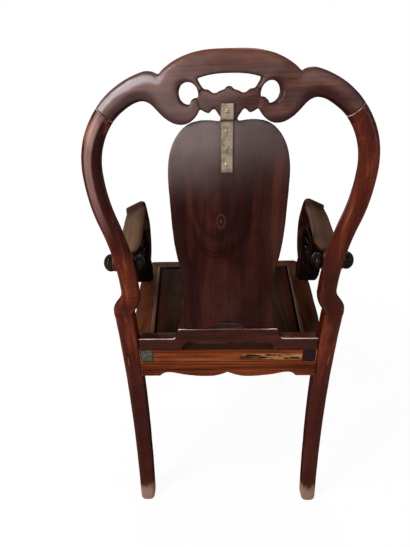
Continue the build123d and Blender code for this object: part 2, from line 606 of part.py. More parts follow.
def make_side_rail():
    """Left side rail: bowed outside, straight inside, mitred to the front rail."""
    rear = REAR_RAIL_FRONT - GLUE_LINE
    inner_front = (PANEL_FRONT_HALF, PANEL_FRONT)
    outer_front = (SEAT_FRONT_HALF, -SEAT_FRONT)
    outline = [side_line(), Line(outer_front, inner_front),
               Line(inner_front, (panel_half(rear), rear)),
               Line((panel_half(rear), rear), (SEAT_REAR_HALF, rear)),
               Line((SEAT_REAR_HALF, rear), (SEAT_REAR_HALF, REAR_RAIL_FRONT - LEG_GAP))]
    plane = Plane(origin=(0, 0, FRAME_BOTTOM), x_dir=(1, 0, 0), z_dir=(0, 0, 1))
    rail = extrude(plane * make_face(outline), FRAME_THICKNESS)
    middle = SEAT_HEIGHT - FRAME_THICKNESS / 2
    inside = LEG_SPREAD - LEG_WIDTH / 2 - GLUE_LINE
    notch = Box(2 * LEG_WIDTH, 2 * LEG_DEPTH, 2 * FRAME_THICKNESS)
    rail -= Pos(inside + LEG_WIDTH, SIDE_SHOULDER - GLUE_LINE + LEG_DEPTH, middle) * notch
    rail -= board_groove(FIT)
    behind = Box(2 * SEAT_WIDE_HALF, 2 * REAR_RAIL_DEPTH, FRAME_THICKNESS)
    rail += side_tenon(0) & Pos(0, REAR_FACE - REAR_RAIL_DEPTH, middle) * behind
    rail -= panel_prism(0, FRAME_BOTTOM, SEAT_HEIGHT)
    rail = round_outer(rail, lambda edge: edge.center().X > SEAT_REAR_HALF and edge.length > SEAT_WIDE_AT)
    rail -= front_leg_tenon(FIT)
    rail -= scroll_tenon(FIT)
    for y in BATTEN_PLACES:
        rail -= batten(y, FIT)[1]
    return solid_of(rail)


def make_front_rail():
    """Front rail of the seat frame, mitred at both ends."""
    outline = Polyline([(SEAT_FRONT_HALF, -SEAT_FRONT), (PANEL_FRONT_HALF, PANEL_FRONT),
                        (-PANEL_FRONT_HALF, PANEL_FRONT), (-SEAT_FRONT_HALF, -SEAT_FRONT)], close=True)
    plane = Plane(origin=(0, -GLUE_LINE, FRAME_BOTTOM), x_dir=(1, 0, 0), z_dir=(0, 0, 1))
    rail = extrude(plane * make_face(outline), FRAME_THICKNESS)
    rail = round_outer(rail, lambda edge: edge.center().Y < PANEL_FRONT and edge.length > 2 * PANEL_FRONT_HALF)
    rail -= board_groove(FIT)
    for tenon in (front_leg_tenon(FIT), mirrored(front_leg_tenon(FIT))):
        rail -= tenon
    return solid_of(rail)


def make_seat_boards():
    """Three boards, edge to edge, tongued all round into the frame."""
    top = SEAT_HEIGHT - BOARD_SINK
    panel = panel_prism(-BOARD_JOINT / 2, top - BOARD_THICKNESS, top) + board_groove(0)
    for tenon in (side_tenon(FIT), mirrored(side_tenon(FIT))):
        panel -= tenon
    width = 2 * (PANEL_FRONT_HALF + 2 * BOARD_GROOVE)
    board = 2 * PANEL_REAR_HALF / 3
    middle = (REAR_RAIL_FRONT + PANEL_FRONT) / 2
    cuts = [(-width / 2, -board / 2), (-board / 2, board / 2), (board / 2, width / 2)]
    boards = []
    for left, right in cuts:
        slab = Box(right - left - BOARD_JOINT, SEAT_FRONT, 2 * FRAME_THICKNESS)
        boards.append(solid_of(panel & Pos((left + right) / 2, middle, top) * slab))
    return boards


def make_corner_blocks():
    """Triangular glue blocks in the four inner corners of the frame."""
    top = SEAT_HEIGHT - BOARD_SINK - BOARD_THICKNESS - GLUE_LINE
    blocks = []
    for y, inward in ((REAR_RAIL_FRONT, -1), (PANEL_FRONT, 1)):
        corner = (panel_half(y) - GLUE_LINE, y + inward * GLUE_LINE)
        lean = panel_half(y + inward * BLOCK_SIZE) - GLUE_LINE
        along_rail = (corner[0] - BLOCK_SIZE, corner[1])
        outline = Polyline([corner, (lean, y + inward * BLOCK_SIZE), along_rail], close=True)
        plane = Plane(origin=(0, 0, FRAME_BOTTOM), x_dir=(1, 0, 0), z_dir=(0, 0, 1))
        block = extrude(plane * make_face(outline), top - FRAME_BOTTOM)
        blocks += [block, mirrored(block)]
    return Compound(blocks)


# ------------------------------------------------------------------ aprons
def apron_edge(half):
    """Lower edge of an apron, from its end to the middle: a flat, an ogee and a cusp."""
    low = APRON_BOTTOM
    high = low + APRON_LIFT
    flat_end = half * 0.78
    return [
        Line((half, FRAME_BOTTOM - GLUE_LINE), (half, low)),
        Line((half, low), (flat_end, low)),
        Spline((flat_end, low), (half * 0.71, high), (half * 0.565, high - 3.5), (half * 0.375, low - 0.3),
               (half * 0.185, low - 1.3), (half * 0.09, low + 2.5), (0, high + 1)),
    ]


def make_rear_apron():
    """Apron under the rear rail."""
    half = LEG_SPREAD - LEG_WIDTH / 2 - GLUE_LINE
    edges = apron_edge(half) + [Line((0, FRAME_BOTTOM - GLUE_LINE), (half, FRAME_BOTTOM - GLUE_LINE))]
    plane = Plane(origin=(0, REAR_FACE, 0), x_dir=(1, 0, 0), z_dir=(0, -1, 0))
    return solid_of(extrude(plane * make_face(both_sides(edges)), APRON_THICKNESS))


def make_front_apron():
    """Apron under the front rail."""
    half = FRONT_LEG_X - FRONT_LEG_TOP / 2 - GLUE_LINE
    edges = apron_edge(half) + [Line((0, FRAME_BOTTOM - GLUE_LINE), (half, FRAME_BOTTOM - GLUE_LINE))]
    rear_face = -SEAT_FRONT + APRON_INSET + APRON_THICKNESS
    plane = Plane(origin=(0, rear_face, 0), x_dir=(1, 0, 0), z_dir=(0, -1, 0))
    return solid_of(extrude(plane * make_face(both_sides(edges)), APRON_THICKNESS))


def make_side_apron():
    """Apron under a side rail: bowed with the rail in plan, shaped below like the others."""
    rear = SIDE_SHOULDER - GLUE_LINE
    front = FRONT_LEG_Y + FRONT_LEG_TOP / 2 + GLUE_LINE
    outer = side_line(APRON_INSET)
    inner = side_line(APRON_INSET + APRON_THICKNESS)
    strip = make_face([outer, inner, Line(outer @ 0, inner @ 0), Line(outer @ 1, inner @ 1)])
    plane = Plane(origin=(0, 0, APRON_BOTTOM - APRON_LIFT), x_dir=(1, 0, 0), z_dir=(0, 0, 1))
    board = extrude(plane * strip, APRON_HEIGHT + APRON_LIFT - GLUE_LINE)
    half = (rear - front) / 2
    edges = apron_edge(half) + [Line((0, FRAME_BOTTOM - GLUE_LINE), (half, FRAME_BOTTOM - GLUE_LINE))]
    side = Plane(origin=(0, (rear + front) / 2, 0), x_dir=(0, 1, 0), z_dir=(1, 0, 0))
    return solid_of(board & extrude(side * make_face(both_sides(edges)), 2 * SEAT_WIDE_HALF))


# ------------------------------------------------------------------ front legs
def make_front_leg():
    """Left front leg: square above, a bulging knee, a slim ankle and a toe kicked forward."""
    toe = -SEAT_FRONT - TOE_REACH
    spread = FRONT_LEG_X
    y = FRONT_LEG_Y
    knee = FRAME_BOTTOM
    sole = toe + FRONT_FOOT_LENGTH / 2
    rows = [
        (0, spread + 3, sole, FRONT_FOOT_WIDTH - 2, FRONT_FOOT_LENGTH),
        (18, spread + 3, sole + 10, FRONT_FOOT_WIDTH, FRONT_FOOT_LENGTH + 4),
        (50, spread - 1, sole + 37, FRONT_ANKLE + 3, FRONT_ANKLE + 3),
        (knee * 0.25, spread - 5, y + 2, FRONT_ANKLE, FRONT_ANKLE),
        (knee * 0.5, spread - 3, y + 5, FRONT_ANKLE + 3, FRONT_ANKLE + 3),
        (knee * 0.77, spread + 3, y - 3, FRONT_KNEE - 8, FRONT_KNEE - 8),
        (knee - 24, spread + 4, y - 6, FRONT_KNEE, FRONT_KNEE),
        (knee - GLUE_LINE, spread, y, FRONT_LEG_TOP, FRONT_LEG_TOP),
    ]
    sections = []
    for height, x, middle, width, depth in rows:
        plane = Plane(origin=(x, middle, height), x_dir=(1, 0, 0), z_dir=(0, 0, 1))
        sections.append(plane * RectangleRounded(width, depth, FRONT_LEG_CORNER))
    leg = loft(sections)
    return solid_of(leg + front_leg_tenon(0))


# ------------------------------------------------------------------ arms
def curl_point(radius, angle):
    """A point of the curl in side view (Y, height), at degrees round its middle."""
    turn = radians(angle)
    return ARM_CURL_Y + radius * cos(turn), ARM_CURL_Z + radius * sin(turn)


def fall_point(radius, y):
    """A point of the arm's fall to the post in side view (Y, height)."""
    return y, ARM_TOP - ARM_FALL_RADIUS + (radius ** 2 - (y - ARM_FALL_Y) ** 2) ** 0.5


def arm_profile():
    """Side view of the band: fall to the post, level stretch and curl, as a closed outline."""
    outer = ARM_FALL_RADIUS
    inner = ARM_FALL_RADIUS - ARM_BAND
    curl = ARM_CURL_RADIUS
    curl_inner = ARM_CURL_RADIUS - ARM_BAND
    underside = ARM_TOP - ARM_BAND
    end = ARM_CURL_END
    turn = (90 + end) / 2
    half_fall = (ARM_FALL_Y + ROLL_Y) / 2
    return [
        ThreePointArc(fall_point(outer, ROLL_Y), fall_point(outer, half_fall), (ARM_FALL_Y, ARM_TOP)),
        Line((ARM_FALL_Y, ARM_TOP), (ARM_CURL_Y, ARM_TOP)),
        ThreePointArc((ARM_CURL_Y, ARM_TOP), curl_point(curl, turn), curl_point(curl, end)),
        Line(curl_point(curl, end), curl_point(curl_inner, end)),
        ThreePointArc(curl_point(curl_inner, end), curl_point(curl_inner, turn), (ARM_CURL_Y, underside)),
        Line((ARM_CURL_Y, underside), (ARM_FALL_Y, underside)),
        ThreePointArc((ARM_FALL_Y, underside), fall_point(inner, half_fall), fall_point(inner, ROLL_Y)),
        Line(fall_point(inner, ROLL_Y), fall_point(outer, ROLL_Y)),
    ]


def arm_plan():
    """Outline of the arm from above: a little narrower behind the middle, widest at the rounded front."""
    rear = ROLL_Y + ARM_END_LAP
    reach = rear - ARM_CURL_Y
    curl = ARM_CURL_RADIUS
    inner = Spline((ROLL_X - ARM_END_HALF, rear), (ROLL_X - 29, rear - 0.06 * reach),
                   (ROLL_X - 31.5, rear - 0.19 * reach), (ROLL_X - 28, rear - 0.37 * reach),
                   (SCROLL_X - 40, rear - 0.69 * reach), (SCROLL_X - 28, ARM_CURL_Y),
                   (SCROLL_X - 19, ARM_CURL_Y - 0.4 * curl), (SCROLL_X - 14.5, ARM_CURL_Y - 0.82 * curl),
                   (SCROLL_X - SCROLL_THICKNESS / 2, ARM_CURL_Y - 1.14 * curl))
    outer = Spline((ROLL_X + ARM_END_HALF, rear), (ROLL_X + 18.5, rear - 0.12 * reach),
                   (SCROLL_X - 2, rear - 0.33 * reach), (SCROLL_X + 2, rear - 0.52 * reach),
                   (SCROLL_X + 13, rear - 0.84 * reach), (SCROLL_X + 23, ARM_CURL_Y),
                   (SCROLL_X + 32, ARM_CURL_Y - 0.3 * curl), (SCROLL_X + 31.5, ARM_CURL_Y - 0.6 * curl),
                   (SCROLL_X + 24, ARM_CURL_Y - 0.83 * curl), (SCROLL_X + 17, ARM_CURL_Y - 1.14 * curl))
    return [inner, outer, Line(inner @ 0, outer @ 0), Line(inner @ 1, outer @ 1)]


def arm_front():
    """Outline of the arm from the front: the curl narrows towards its landing on the bracket."""
    curl = ARM_CURL_RADIUS
    low = ARM_TOP - 2 * curl
    inner = Spline((SCROLL_X - 40, ARM_TOP + 0.4 * curl), (SCROLL_X - 24, ARM_TOP + 0.1 * curl),
                   (SCROLL_X - 18, ARM_TOP - 0.2 * curl), (SCROLL_X - 15, ARM_TOP - 0.5 * curl),
                   (SCROLL_X - 14, ARM_CURL_Z), (SCROLL_X - SCROLL_THICKNESS / 2, low))
    outer = Spline((SCROLL_X + 44, ARM_TOP + 0.4 * curl), (SCROLL_X + 40, ARM_TOP - 0.1 * curl),
                   (SCROLL_X + 29, ARM_TOP - 0.5 * curl), (SCROLL_X + 19, ARM_CURL_Z),
                   (SCROLL_X + SCROLL_THICKNESS / 2, low))
    return [inner, outer, Line(inner @ 0, outer @ 0), Line(inner @ 1, outer @ 1)]


def roll_place(x):
    """Plane across the roll's axis at an X."""
    return Plane(origin=(x, ROLL_Y, ROLL_HEIGHT), x_dir=(0, 1, 0), z_dir=(1, 0, 0))


def arm_dowel(clearance):
    """Dowel from the arm's rolled end back into the post."""
    face = ROLL_Y + ROLL_RADIUS
    origin = (HOOP_WAIST_HALF + DOWEL_OUTSET, face, ROLL_HEIGHT)
    plane = Plane(origin=origin, x_dir=(1, 0, 0), z_dir=(0, 1, 0))
    return plane * Cylinder(DOWEL_RADIUS + clearance, DOWEL_LENGTH + 2 * clearance)


def arm_sweep():
    """The band run sideways past both edges of the arm, sloping down to the outside."""
    tilt = radians(ARM_TILT)
    place = Plane(origin=(SCROLL_X, 0, 0), x_dir=(0, 1, 0), z_dir=(1, 0, 0))
    aslant = (cos(tilt), 0, -sin(tilt))
    return extrude(place * make_face(arm_profile()), ARM_CURL_RADIUS, dir=aslant, both=True)


def make_arm():
    """Left arm: the tilted band cut to its outlines from above and from the front, with a roll at its rear."""
    band = arm_sweep()
    plan = Plane(origin=(0, 0, FRAME_BOTTOM), x_dir=(1, 0, 0), z_dir=(0, 0, 1)) * make_face(arm_plan())
    front = Plane(origin=(0, 0, 0), x_dir=(1, 0, 0), z_dir=(0, -1, 0)) * make_face(arm_front())
    band = band & extrude(plan, SEAT_HEIGHT)
    ahead = Box(2 * SEAT_WIDE_HALF, 2 * ARM_CURL_RADIUS, 4 * ARM_CURL_RADIUS)
    curl_space = Pos(SCROLL_X, ARM_CURL_Y - ARM_CURL_RADIUS, ARM_CURL_Z) * ahead
    band = (band & extrude(front, SEAT_FRONT) & curl_space) + (band - curl_space)
    roll = roll_place(ROLL_X) * Cylinder(ROLL_RADIUS, ROLL_LENGTH)
    arm = band + roll
    arm -= arm_dowel(GLUE_LINE)
    boss_middle = ROLL_X - (ROLL_LENGTH + BOSS_LENGTH) / 2
    arm -= roll_place(boss_middle) * Cylinder(ROLL_RADIUS + GLUE_LINE, BOSS_LENGTH)
    return solid_of(arm)


def make_boss(direction):
    """Domed boss on one end of the arm's roll; direction is 1 for the outer end, -1 for the inner."""
    start = ROLL_X + direction * (ROLL_LENGTH / 2 + GLUE_LINE)
    plane = Plane(origin=(start, ROLL_Y, ROLL_HEIGHT), x_dir=(0, direction, 0), z_dir=(direction, 0, 0))
    body = extrude(plane * Circle(ROLL_RADIUS), BOSS_LENGTH)
    rim = body.faces().sort_by(Axis.X)[-1 if direction > 0 else 0].edges()
    return solid_of(fillet(rim, BOSS_DOME))


def scroll_tenon(clearance):
    """Tenon under the bracket's foot, down into the side rail."""
    grow = 2 * clearance
    middle = (SCROLL_FOOT_FRONT + SCROLL_FOOT_REAR) / 2
    width = SCROLL_THICKNESS - 2 * SCROLL_TENON_STEP
    length = SCROLL_FOOT_LENGTH - 2 * SCROLL_TENON_STEP
    block = Box(width + grow, length + grow, SCROLL_TENON + TENON_SHOULDER + grow)
    return Pos(SCROLL_X, middle, SEAT_HEIGHT - (SCROLL_TENON - TENON_SHOULDER) / 2) * block


def ring_slot(inner, outer, start, end):
    """Arc-shaped slot about the middle of the scroll, in the side plane."""
    centre = (ARM_CURL_Y, SCROLL_Z)

    def at(radius, angle):
        return centre[0] + radius * cos(radians(angle)), centre[1] + radius * sin(radians(angle))

    middle = (start + end) / 2
    return make_face([
        ThreePointArc(at(outer, start), at(outer, middle), at(outer, end)),
        Line(at(outer, end), at(inner, end)),
        ThreePointArc(at(inner, end), at(inner, middle), at(inner, start)),
        Line(at(inner, start), at(outer, start)),
    ])


def make_scroll_bracket():
    """Carved scroll that fills the lower part of the arm's curl and stands on the side rail."""
    disc = Location((ARM_CURL_Y, SCROLL_Z)) * Circle(SCROLL_RADIUS)
    heel = curl_point(ARM_CURL_RADIUS, ARM_CURL_END - SCROLL_LAP)
    top = curl_point(ARM_CURL_RADIUS - ARM_BAND, ARM_CURL_END - SCROLL_LAP)
    ground = SEAT_HEIGHT + GLUE_LINE
    under_disc = (ARM_CURL_Y + 24, SCROLL_Z - SCROLL_RADIUS + 6)
    foot = make_face([
        Line((ARM_CURL_Y, SCROLL_Z), top),
        Line(top, heel),
        Spline(heel, (SCROLL_FOOT_FRONT - 1, (heel[1] + ground) / 2), (SCROLL_FOOT_FRONT, ground)),
        Line((SCROLL_FOOT_FRONT, ground), (SCROLL_FOOT_REAR, ground)),
        Spline((SCROLL_FOOT_REAR, ground), (SCROLL_FOOT_REAR + 16, ground + 22), under_disc),
        Line(under_disc, (ARM_CURL_Y, SCROLL_Z)),
    ])
    shape = disc + foot
    shape -= ring_slot(SCROLL_RADIUS - SCROLL_RIM - SCROLL_SLOT, SCROLL_RADIUS - SCROLL_RIM, -25, 215)
    shape -= ring_slot(SCROLL_EYE, SCROLL_EYE + SCROLL_EYE_SLOT, 10, 300)
    plane = Plane(origin=(SCROLL_X, 0, 0), x_dir=(0, 1, 0), z_dir=(1, 0, 0))
    bracket = plane * extrude(shape, SCROLL_THICKNESS / 2, both=True)
    bracket += scroll_tenon(0)
    bracket -= arm_sweep()
    return solid_of(bracket)


# ------------------------------------------------------------------ brass plate
def make_mending_plate():
    """Cranked brass strap over the joint of bat and splat, on their rear faces."""
    t = PLATE_THICKNESS
    strap = PLATE_WIDTH - PLATE_WAIST
    step = up(PLATE_STEP)
    upper = Pos(PLATE_OFFSET, step + PLATE_ABOVE / 2, BAT_FACE - t / 2) * Box(PLATE_WIDTH, PLATE_ABOVE, t)
    lower = Pos(PLATE_OFFSET, step - PLATE_BELOW / 2, SPLAT_FACE - t / 2) * Box(strap, PLATE_BELOW, t)
    depth = SPLAT_FACE - BAT_FACE + t
    crank = Pos(PLATE_OFFSET, step - t / 2, SPLAT_FACE - depth / 2) * Box(strap, t, depth)
    plate = BACK * (upper + lower + crank)
    for screw in plate_screw_shanks(FIT):
        plate -= screw
    return solid_of(plate)


def screw_places():
    """Distance up the back and level of the plate's outer face for each screw."""
    step = up(PLATE_STEP)
    upper = [(step + UPPER_SCREW, BAT_FACE - PLATE_THICKNESS)]
    return upper + [(step + rise, SPLAT_FACE - PLATE_THICKNESS) for rise in LOWER_SCREWS]


def plate_screw_shanks(clearance):
    """Shanks of the plate's screws, grown by a clearance."""
    shanks = []
    for rise, face in screw_places():
        place = BACK * Pos(PLATE_OFFSET, rise, face + (SCREW_LENGTH - SCREW_HEAD) / 2)
        shanks.append(place * Cylinder(SCREW_RADIUS + clearance, SCREW_LENGTH + SCREW_HEAD))
    return shanks


def make_plate_screws():
    """Four screws with low domed heads on the plate."""
    screws = []
    for (rise, face), shank in zip(screw_places(), plate_screw_shanks(0)):
        head = extrude(Circle(SCREW_HEAD_RADIUS), SCREW_HEAD)
        head = fillet(head.faces().sort_by(Axis.Z)[0].edges(), SCREW_HEAD * 0.6)
        screws.append(BACK * Pos(PLATE_OFFSET, rise, face - SCREW_HEAD - GLUE_LINE) * head + shank)
    return Compound([solid_of(screw) for screw in screws])


# ------------------------------------------------------------------ all pieces
def make_parts():
    """Every piece of the chair by its name."""
    leg = make_rear_leg()
    side_rail = make_side_rail()
    front_leg = make_front_leg()
    side_apron = make_side_apron()
    arm = make_arm()
    bracket = make_scroll_bracket()
    outer_boss = make_boss(1)
    inner_boss = make_boss(-1)
    dowel = arm_dowel(0)
    boards = make_seat_boards()
    pins = [seam_pin(1, -PIN_EASE), seam_pin(-1, -PIN_EASE)]
    tongue = seam_tongue(0) - seam_pin(1, 0) - seam_pin(-1, 0)
    parts = {
        "rear_leg_left": leg,
        "rear_leg_right": mirrored(leg),
        "crest_rail": make_crest_rail(),
        "back_splat": make_splat(),
        "lower_back_rail": make_hump_rail(),
        "rear_seat_rail": make_rear_rail(),
        "front_seat_rail": make_front_rail(),
        "seat_rail_left": side_rail,
        "seat_rail_right": mirrored(side_rail),
        "seat_board_right": boards[0],
        "seat_board_middle": boards[1],
        "seat_board_left": boards[2],
        "corner_blocks": make_corner_blocks(),
        "rear_apron": make_rear_apron(),
        "front_apron": make_front_apron(),
        "side_apron_left": side_apron,
        "side_apron_right": mirrored(side_apron),
        "front_leg_left": front_leg,
        "front_leg_right": mirrored(front_leg),
        "arm_left": arm,
        "arm_right": mirrored(arm),
        "arm_scroll_left": bracket,
        "arm_scroll_right": mirrored(bracket),
        "arm_boss_left_outer": outer_boss,
        "arm_boss_left_inner": inner_boss,
        "arm_boss_right_outer": mirrored(outer_boss),
        "arm_boss_right_inner": mirrored(inner_boss),
        "arm_dowels": Compound([dowel, mirrored(dowel)]),
        "crest_tongues": Compound([solid_of(tongue), mirrored(solid_of(tongue))]),
        "crest_pins": Compound(pins + [mirrored(pin) for pin in pins]),
        "mending_plate": make_mending_plate(),
        "plate_screws": make_plate_screws(),
    }
    for name, y in zip(("rear", "front"), BATTEN_PLACES):
        bar, tenon = batten(y, 0)
        parts[f"seat_batten_{name}"] = solid_of(bar + tenon)
    return parts


def write_parts():
    """Sets the origin under the middle of the chair's box and writes one file a piece."""
    parts = make_parts()
    box = Compound([shape for part in parts.values() for shape in part.solids()]).bounding_box()
    shift = Pos(0, -(box.min.Y + box.max.Y) / 2, -box.min.Z)
    for name, part in parts.items():
        export_step(shift * part, f"parts/{name}.step")
    print(f"pieces {len(parts)}, box {box.size}, rear feet's middle at Y {shift.position.Y:.2f}")


write_parts()
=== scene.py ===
"""Visual model of a hardwood armchair with a balloon back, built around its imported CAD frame."""

from __future__ import annotations

import logging
import math
from dataclasses import dataclass
from enum import Enum
from typing import Callable, Sequence

import bmesh
import bpy
from mathutils import Matrix, Vector, kdtree, noise
from mathutils.bvhtree import BVHTree

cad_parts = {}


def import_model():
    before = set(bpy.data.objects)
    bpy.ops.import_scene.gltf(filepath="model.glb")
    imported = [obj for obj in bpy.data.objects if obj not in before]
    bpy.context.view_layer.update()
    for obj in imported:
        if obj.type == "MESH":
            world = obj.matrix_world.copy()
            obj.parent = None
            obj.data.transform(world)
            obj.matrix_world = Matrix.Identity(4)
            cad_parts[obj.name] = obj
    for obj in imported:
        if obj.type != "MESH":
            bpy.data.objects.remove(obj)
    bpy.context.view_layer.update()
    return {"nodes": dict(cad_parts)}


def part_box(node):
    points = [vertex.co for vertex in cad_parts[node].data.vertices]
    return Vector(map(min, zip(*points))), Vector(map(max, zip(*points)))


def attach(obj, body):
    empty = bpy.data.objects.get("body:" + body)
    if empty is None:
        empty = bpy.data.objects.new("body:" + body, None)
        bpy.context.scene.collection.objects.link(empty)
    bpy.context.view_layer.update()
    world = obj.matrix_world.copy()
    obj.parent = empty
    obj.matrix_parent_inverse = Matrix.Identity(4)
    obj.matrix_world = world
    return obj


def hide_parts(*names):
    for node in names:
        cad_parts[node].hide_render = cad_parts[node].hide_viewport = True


LOG = logging.getLogger("armchair")
MM = 0.001
FEET_Y = 229.22 * MM
RAKE = math.radians(4.87)
BACK_FOOT_Y = FEET_Y + (3.0 - 566.0 * math.tan(RAKE)) * MM
REAR_FACE_Y = FEET_Y + 1.72 * MM
SEAT_HEIGHT = 460.0 * MM
PANEL_REAR_Y = REAR_FACE_Y - 30.0 * MM
PANEL_FRONT_Y = FEET_Y - 416.0 * MM
PANEL_REAR_HALF = 160.0 * MM
PANEL_FRONT_HALF = 193.0 * MM
SHOULDER_X = 85.0 * MM
SHOULDER_RISE = 833.0 * MM
SEAM_ANGLE = math.radians(41.5)
FOLDED = -0.85
EASE_REACH = 1.1
EASE_SPARE = 0.5 * MM
Colour = tuple[float, float, float]
Zone = tuple[float, float]


def on_back(x: float, rise: float, level: float) -> Vector:
    """A place given in the plane of the raked back.

    Args:
        x: distance from the middle plane.
        rise: distance up the back.
        level: distance in front of its middle plane.

    Returns:
        The place in the chair's frame.
    """
    y = BACK_FOOT_Y + rise * math.sin(RAKE) - level * math.cos(RAKE)
    return Vector((x, y, rise * math.cos(RAKE) + level * math.sin(RAKE)))


def soft(value: float, low: float, high: float) -> float:
    """Soft step from 0 at low to 1 at high."""
    share = min(1.0, max(0.0, (value - low) / (high - low)))
    return share * share * (3.0 - 2.0 * share)


# ---------------------------------------------------------------- shader expressions
class Signal:
    """A shader socket that can be used in Python expressions."""

    def __init__(self, shader: "Shader", node: bpy.types.Node, output: str | int) -> None:
        """Keeps where the value comes from.

        Args:
            shader: the shader that new nodes go to.
            node: the node.
            output: the output that carries the value.
        """
        self.shader = shader
        self.node = node
        self.socket = node.outputs[output]

    def other(self, output: str | int) -> "Signal":
        """Another output of the same node."""
        return Signal(self.shader, self.node, output)

    def _math(self, operation: str, first: object, second: object = None) -> "Signal":
        """Adds one Math node.

        Args:
            operation: the Math node's operation.
            first: a signal or a number.
            second: a signal, a number or nothing.

        Returns:
            The node's value.
        """
        values = {0: first} if second is None else {0: first, 1: second}
        return self.shader.node("ShaderNodeMath", {"operation": operation}, values)

    def __add__(self, other: object) -> "Signal":
        """Sum with a signal or number."""
        return self._math("ADD", self, other)

    __radd__ = __add__

    def __mul__(self, other: object) -> "Signal":
        """Product with a signal or number."""
        return self._math("MULTIPLY", self, other)

    __rmul__ = __mul__

    def __sub__(self, other: object) -> "Signal":
        """Difference to a signal or number."""
        return self._math("SUBTRACT", self, other)

    def __rsub__(self, other: object) -> "Signal":
        """A number or signal less this one."""
        return self._math("SUBTRACT", other, self)

    def __truediv__(self, other: object) -> "Signal":
        """Quotient by a signal or number."""
        return self._math("DIVIDE", self, other)

    def sine(self) -> "Signal":
        """Sine of this signal."""
        return self._math("SINE", self)

    def root(self) -> "Signal":
        """Square root of this signal."""
        return self._math("SQRT", self)

    def size(self) -> "Signal":
        """Absolute value of this signal."""
        return self._math("ABSOLUTE", self)

    def most(self, other: object) -> "Signal":
        """Larger of this signal and another."""
        return self._math("MAXIMUM", self, other)

    def step(self, low: float, high: float) -> "Signal":
        """Soft step that runs from 0 at low to 1 at high.

        Args:
            low: value at which the step starts.
            high: value at which it ends; below low, the step falls instead.

        Returns:
            The stepped signal.
        """
        settings = {"interpolation_type": "SMOOTHSTEP", "clamp": True}
        ends = (0.0, 1.0) if high >= low else (1.0, 0.0)
        inputs = {0: self, 1: min(low, high), 2: max(low, high), 3: ends[0], 4: ends[1]}
        return self.shader.node("ShaderNodeMapRange", settings, inputs)

    def band(self, middle: float, half: float, blur: float) -> "Signal":
        """Mask that is 1 within half of the middle and falls to 0 over the blur."""
        return (self - middle).size().step(half + blur, half)


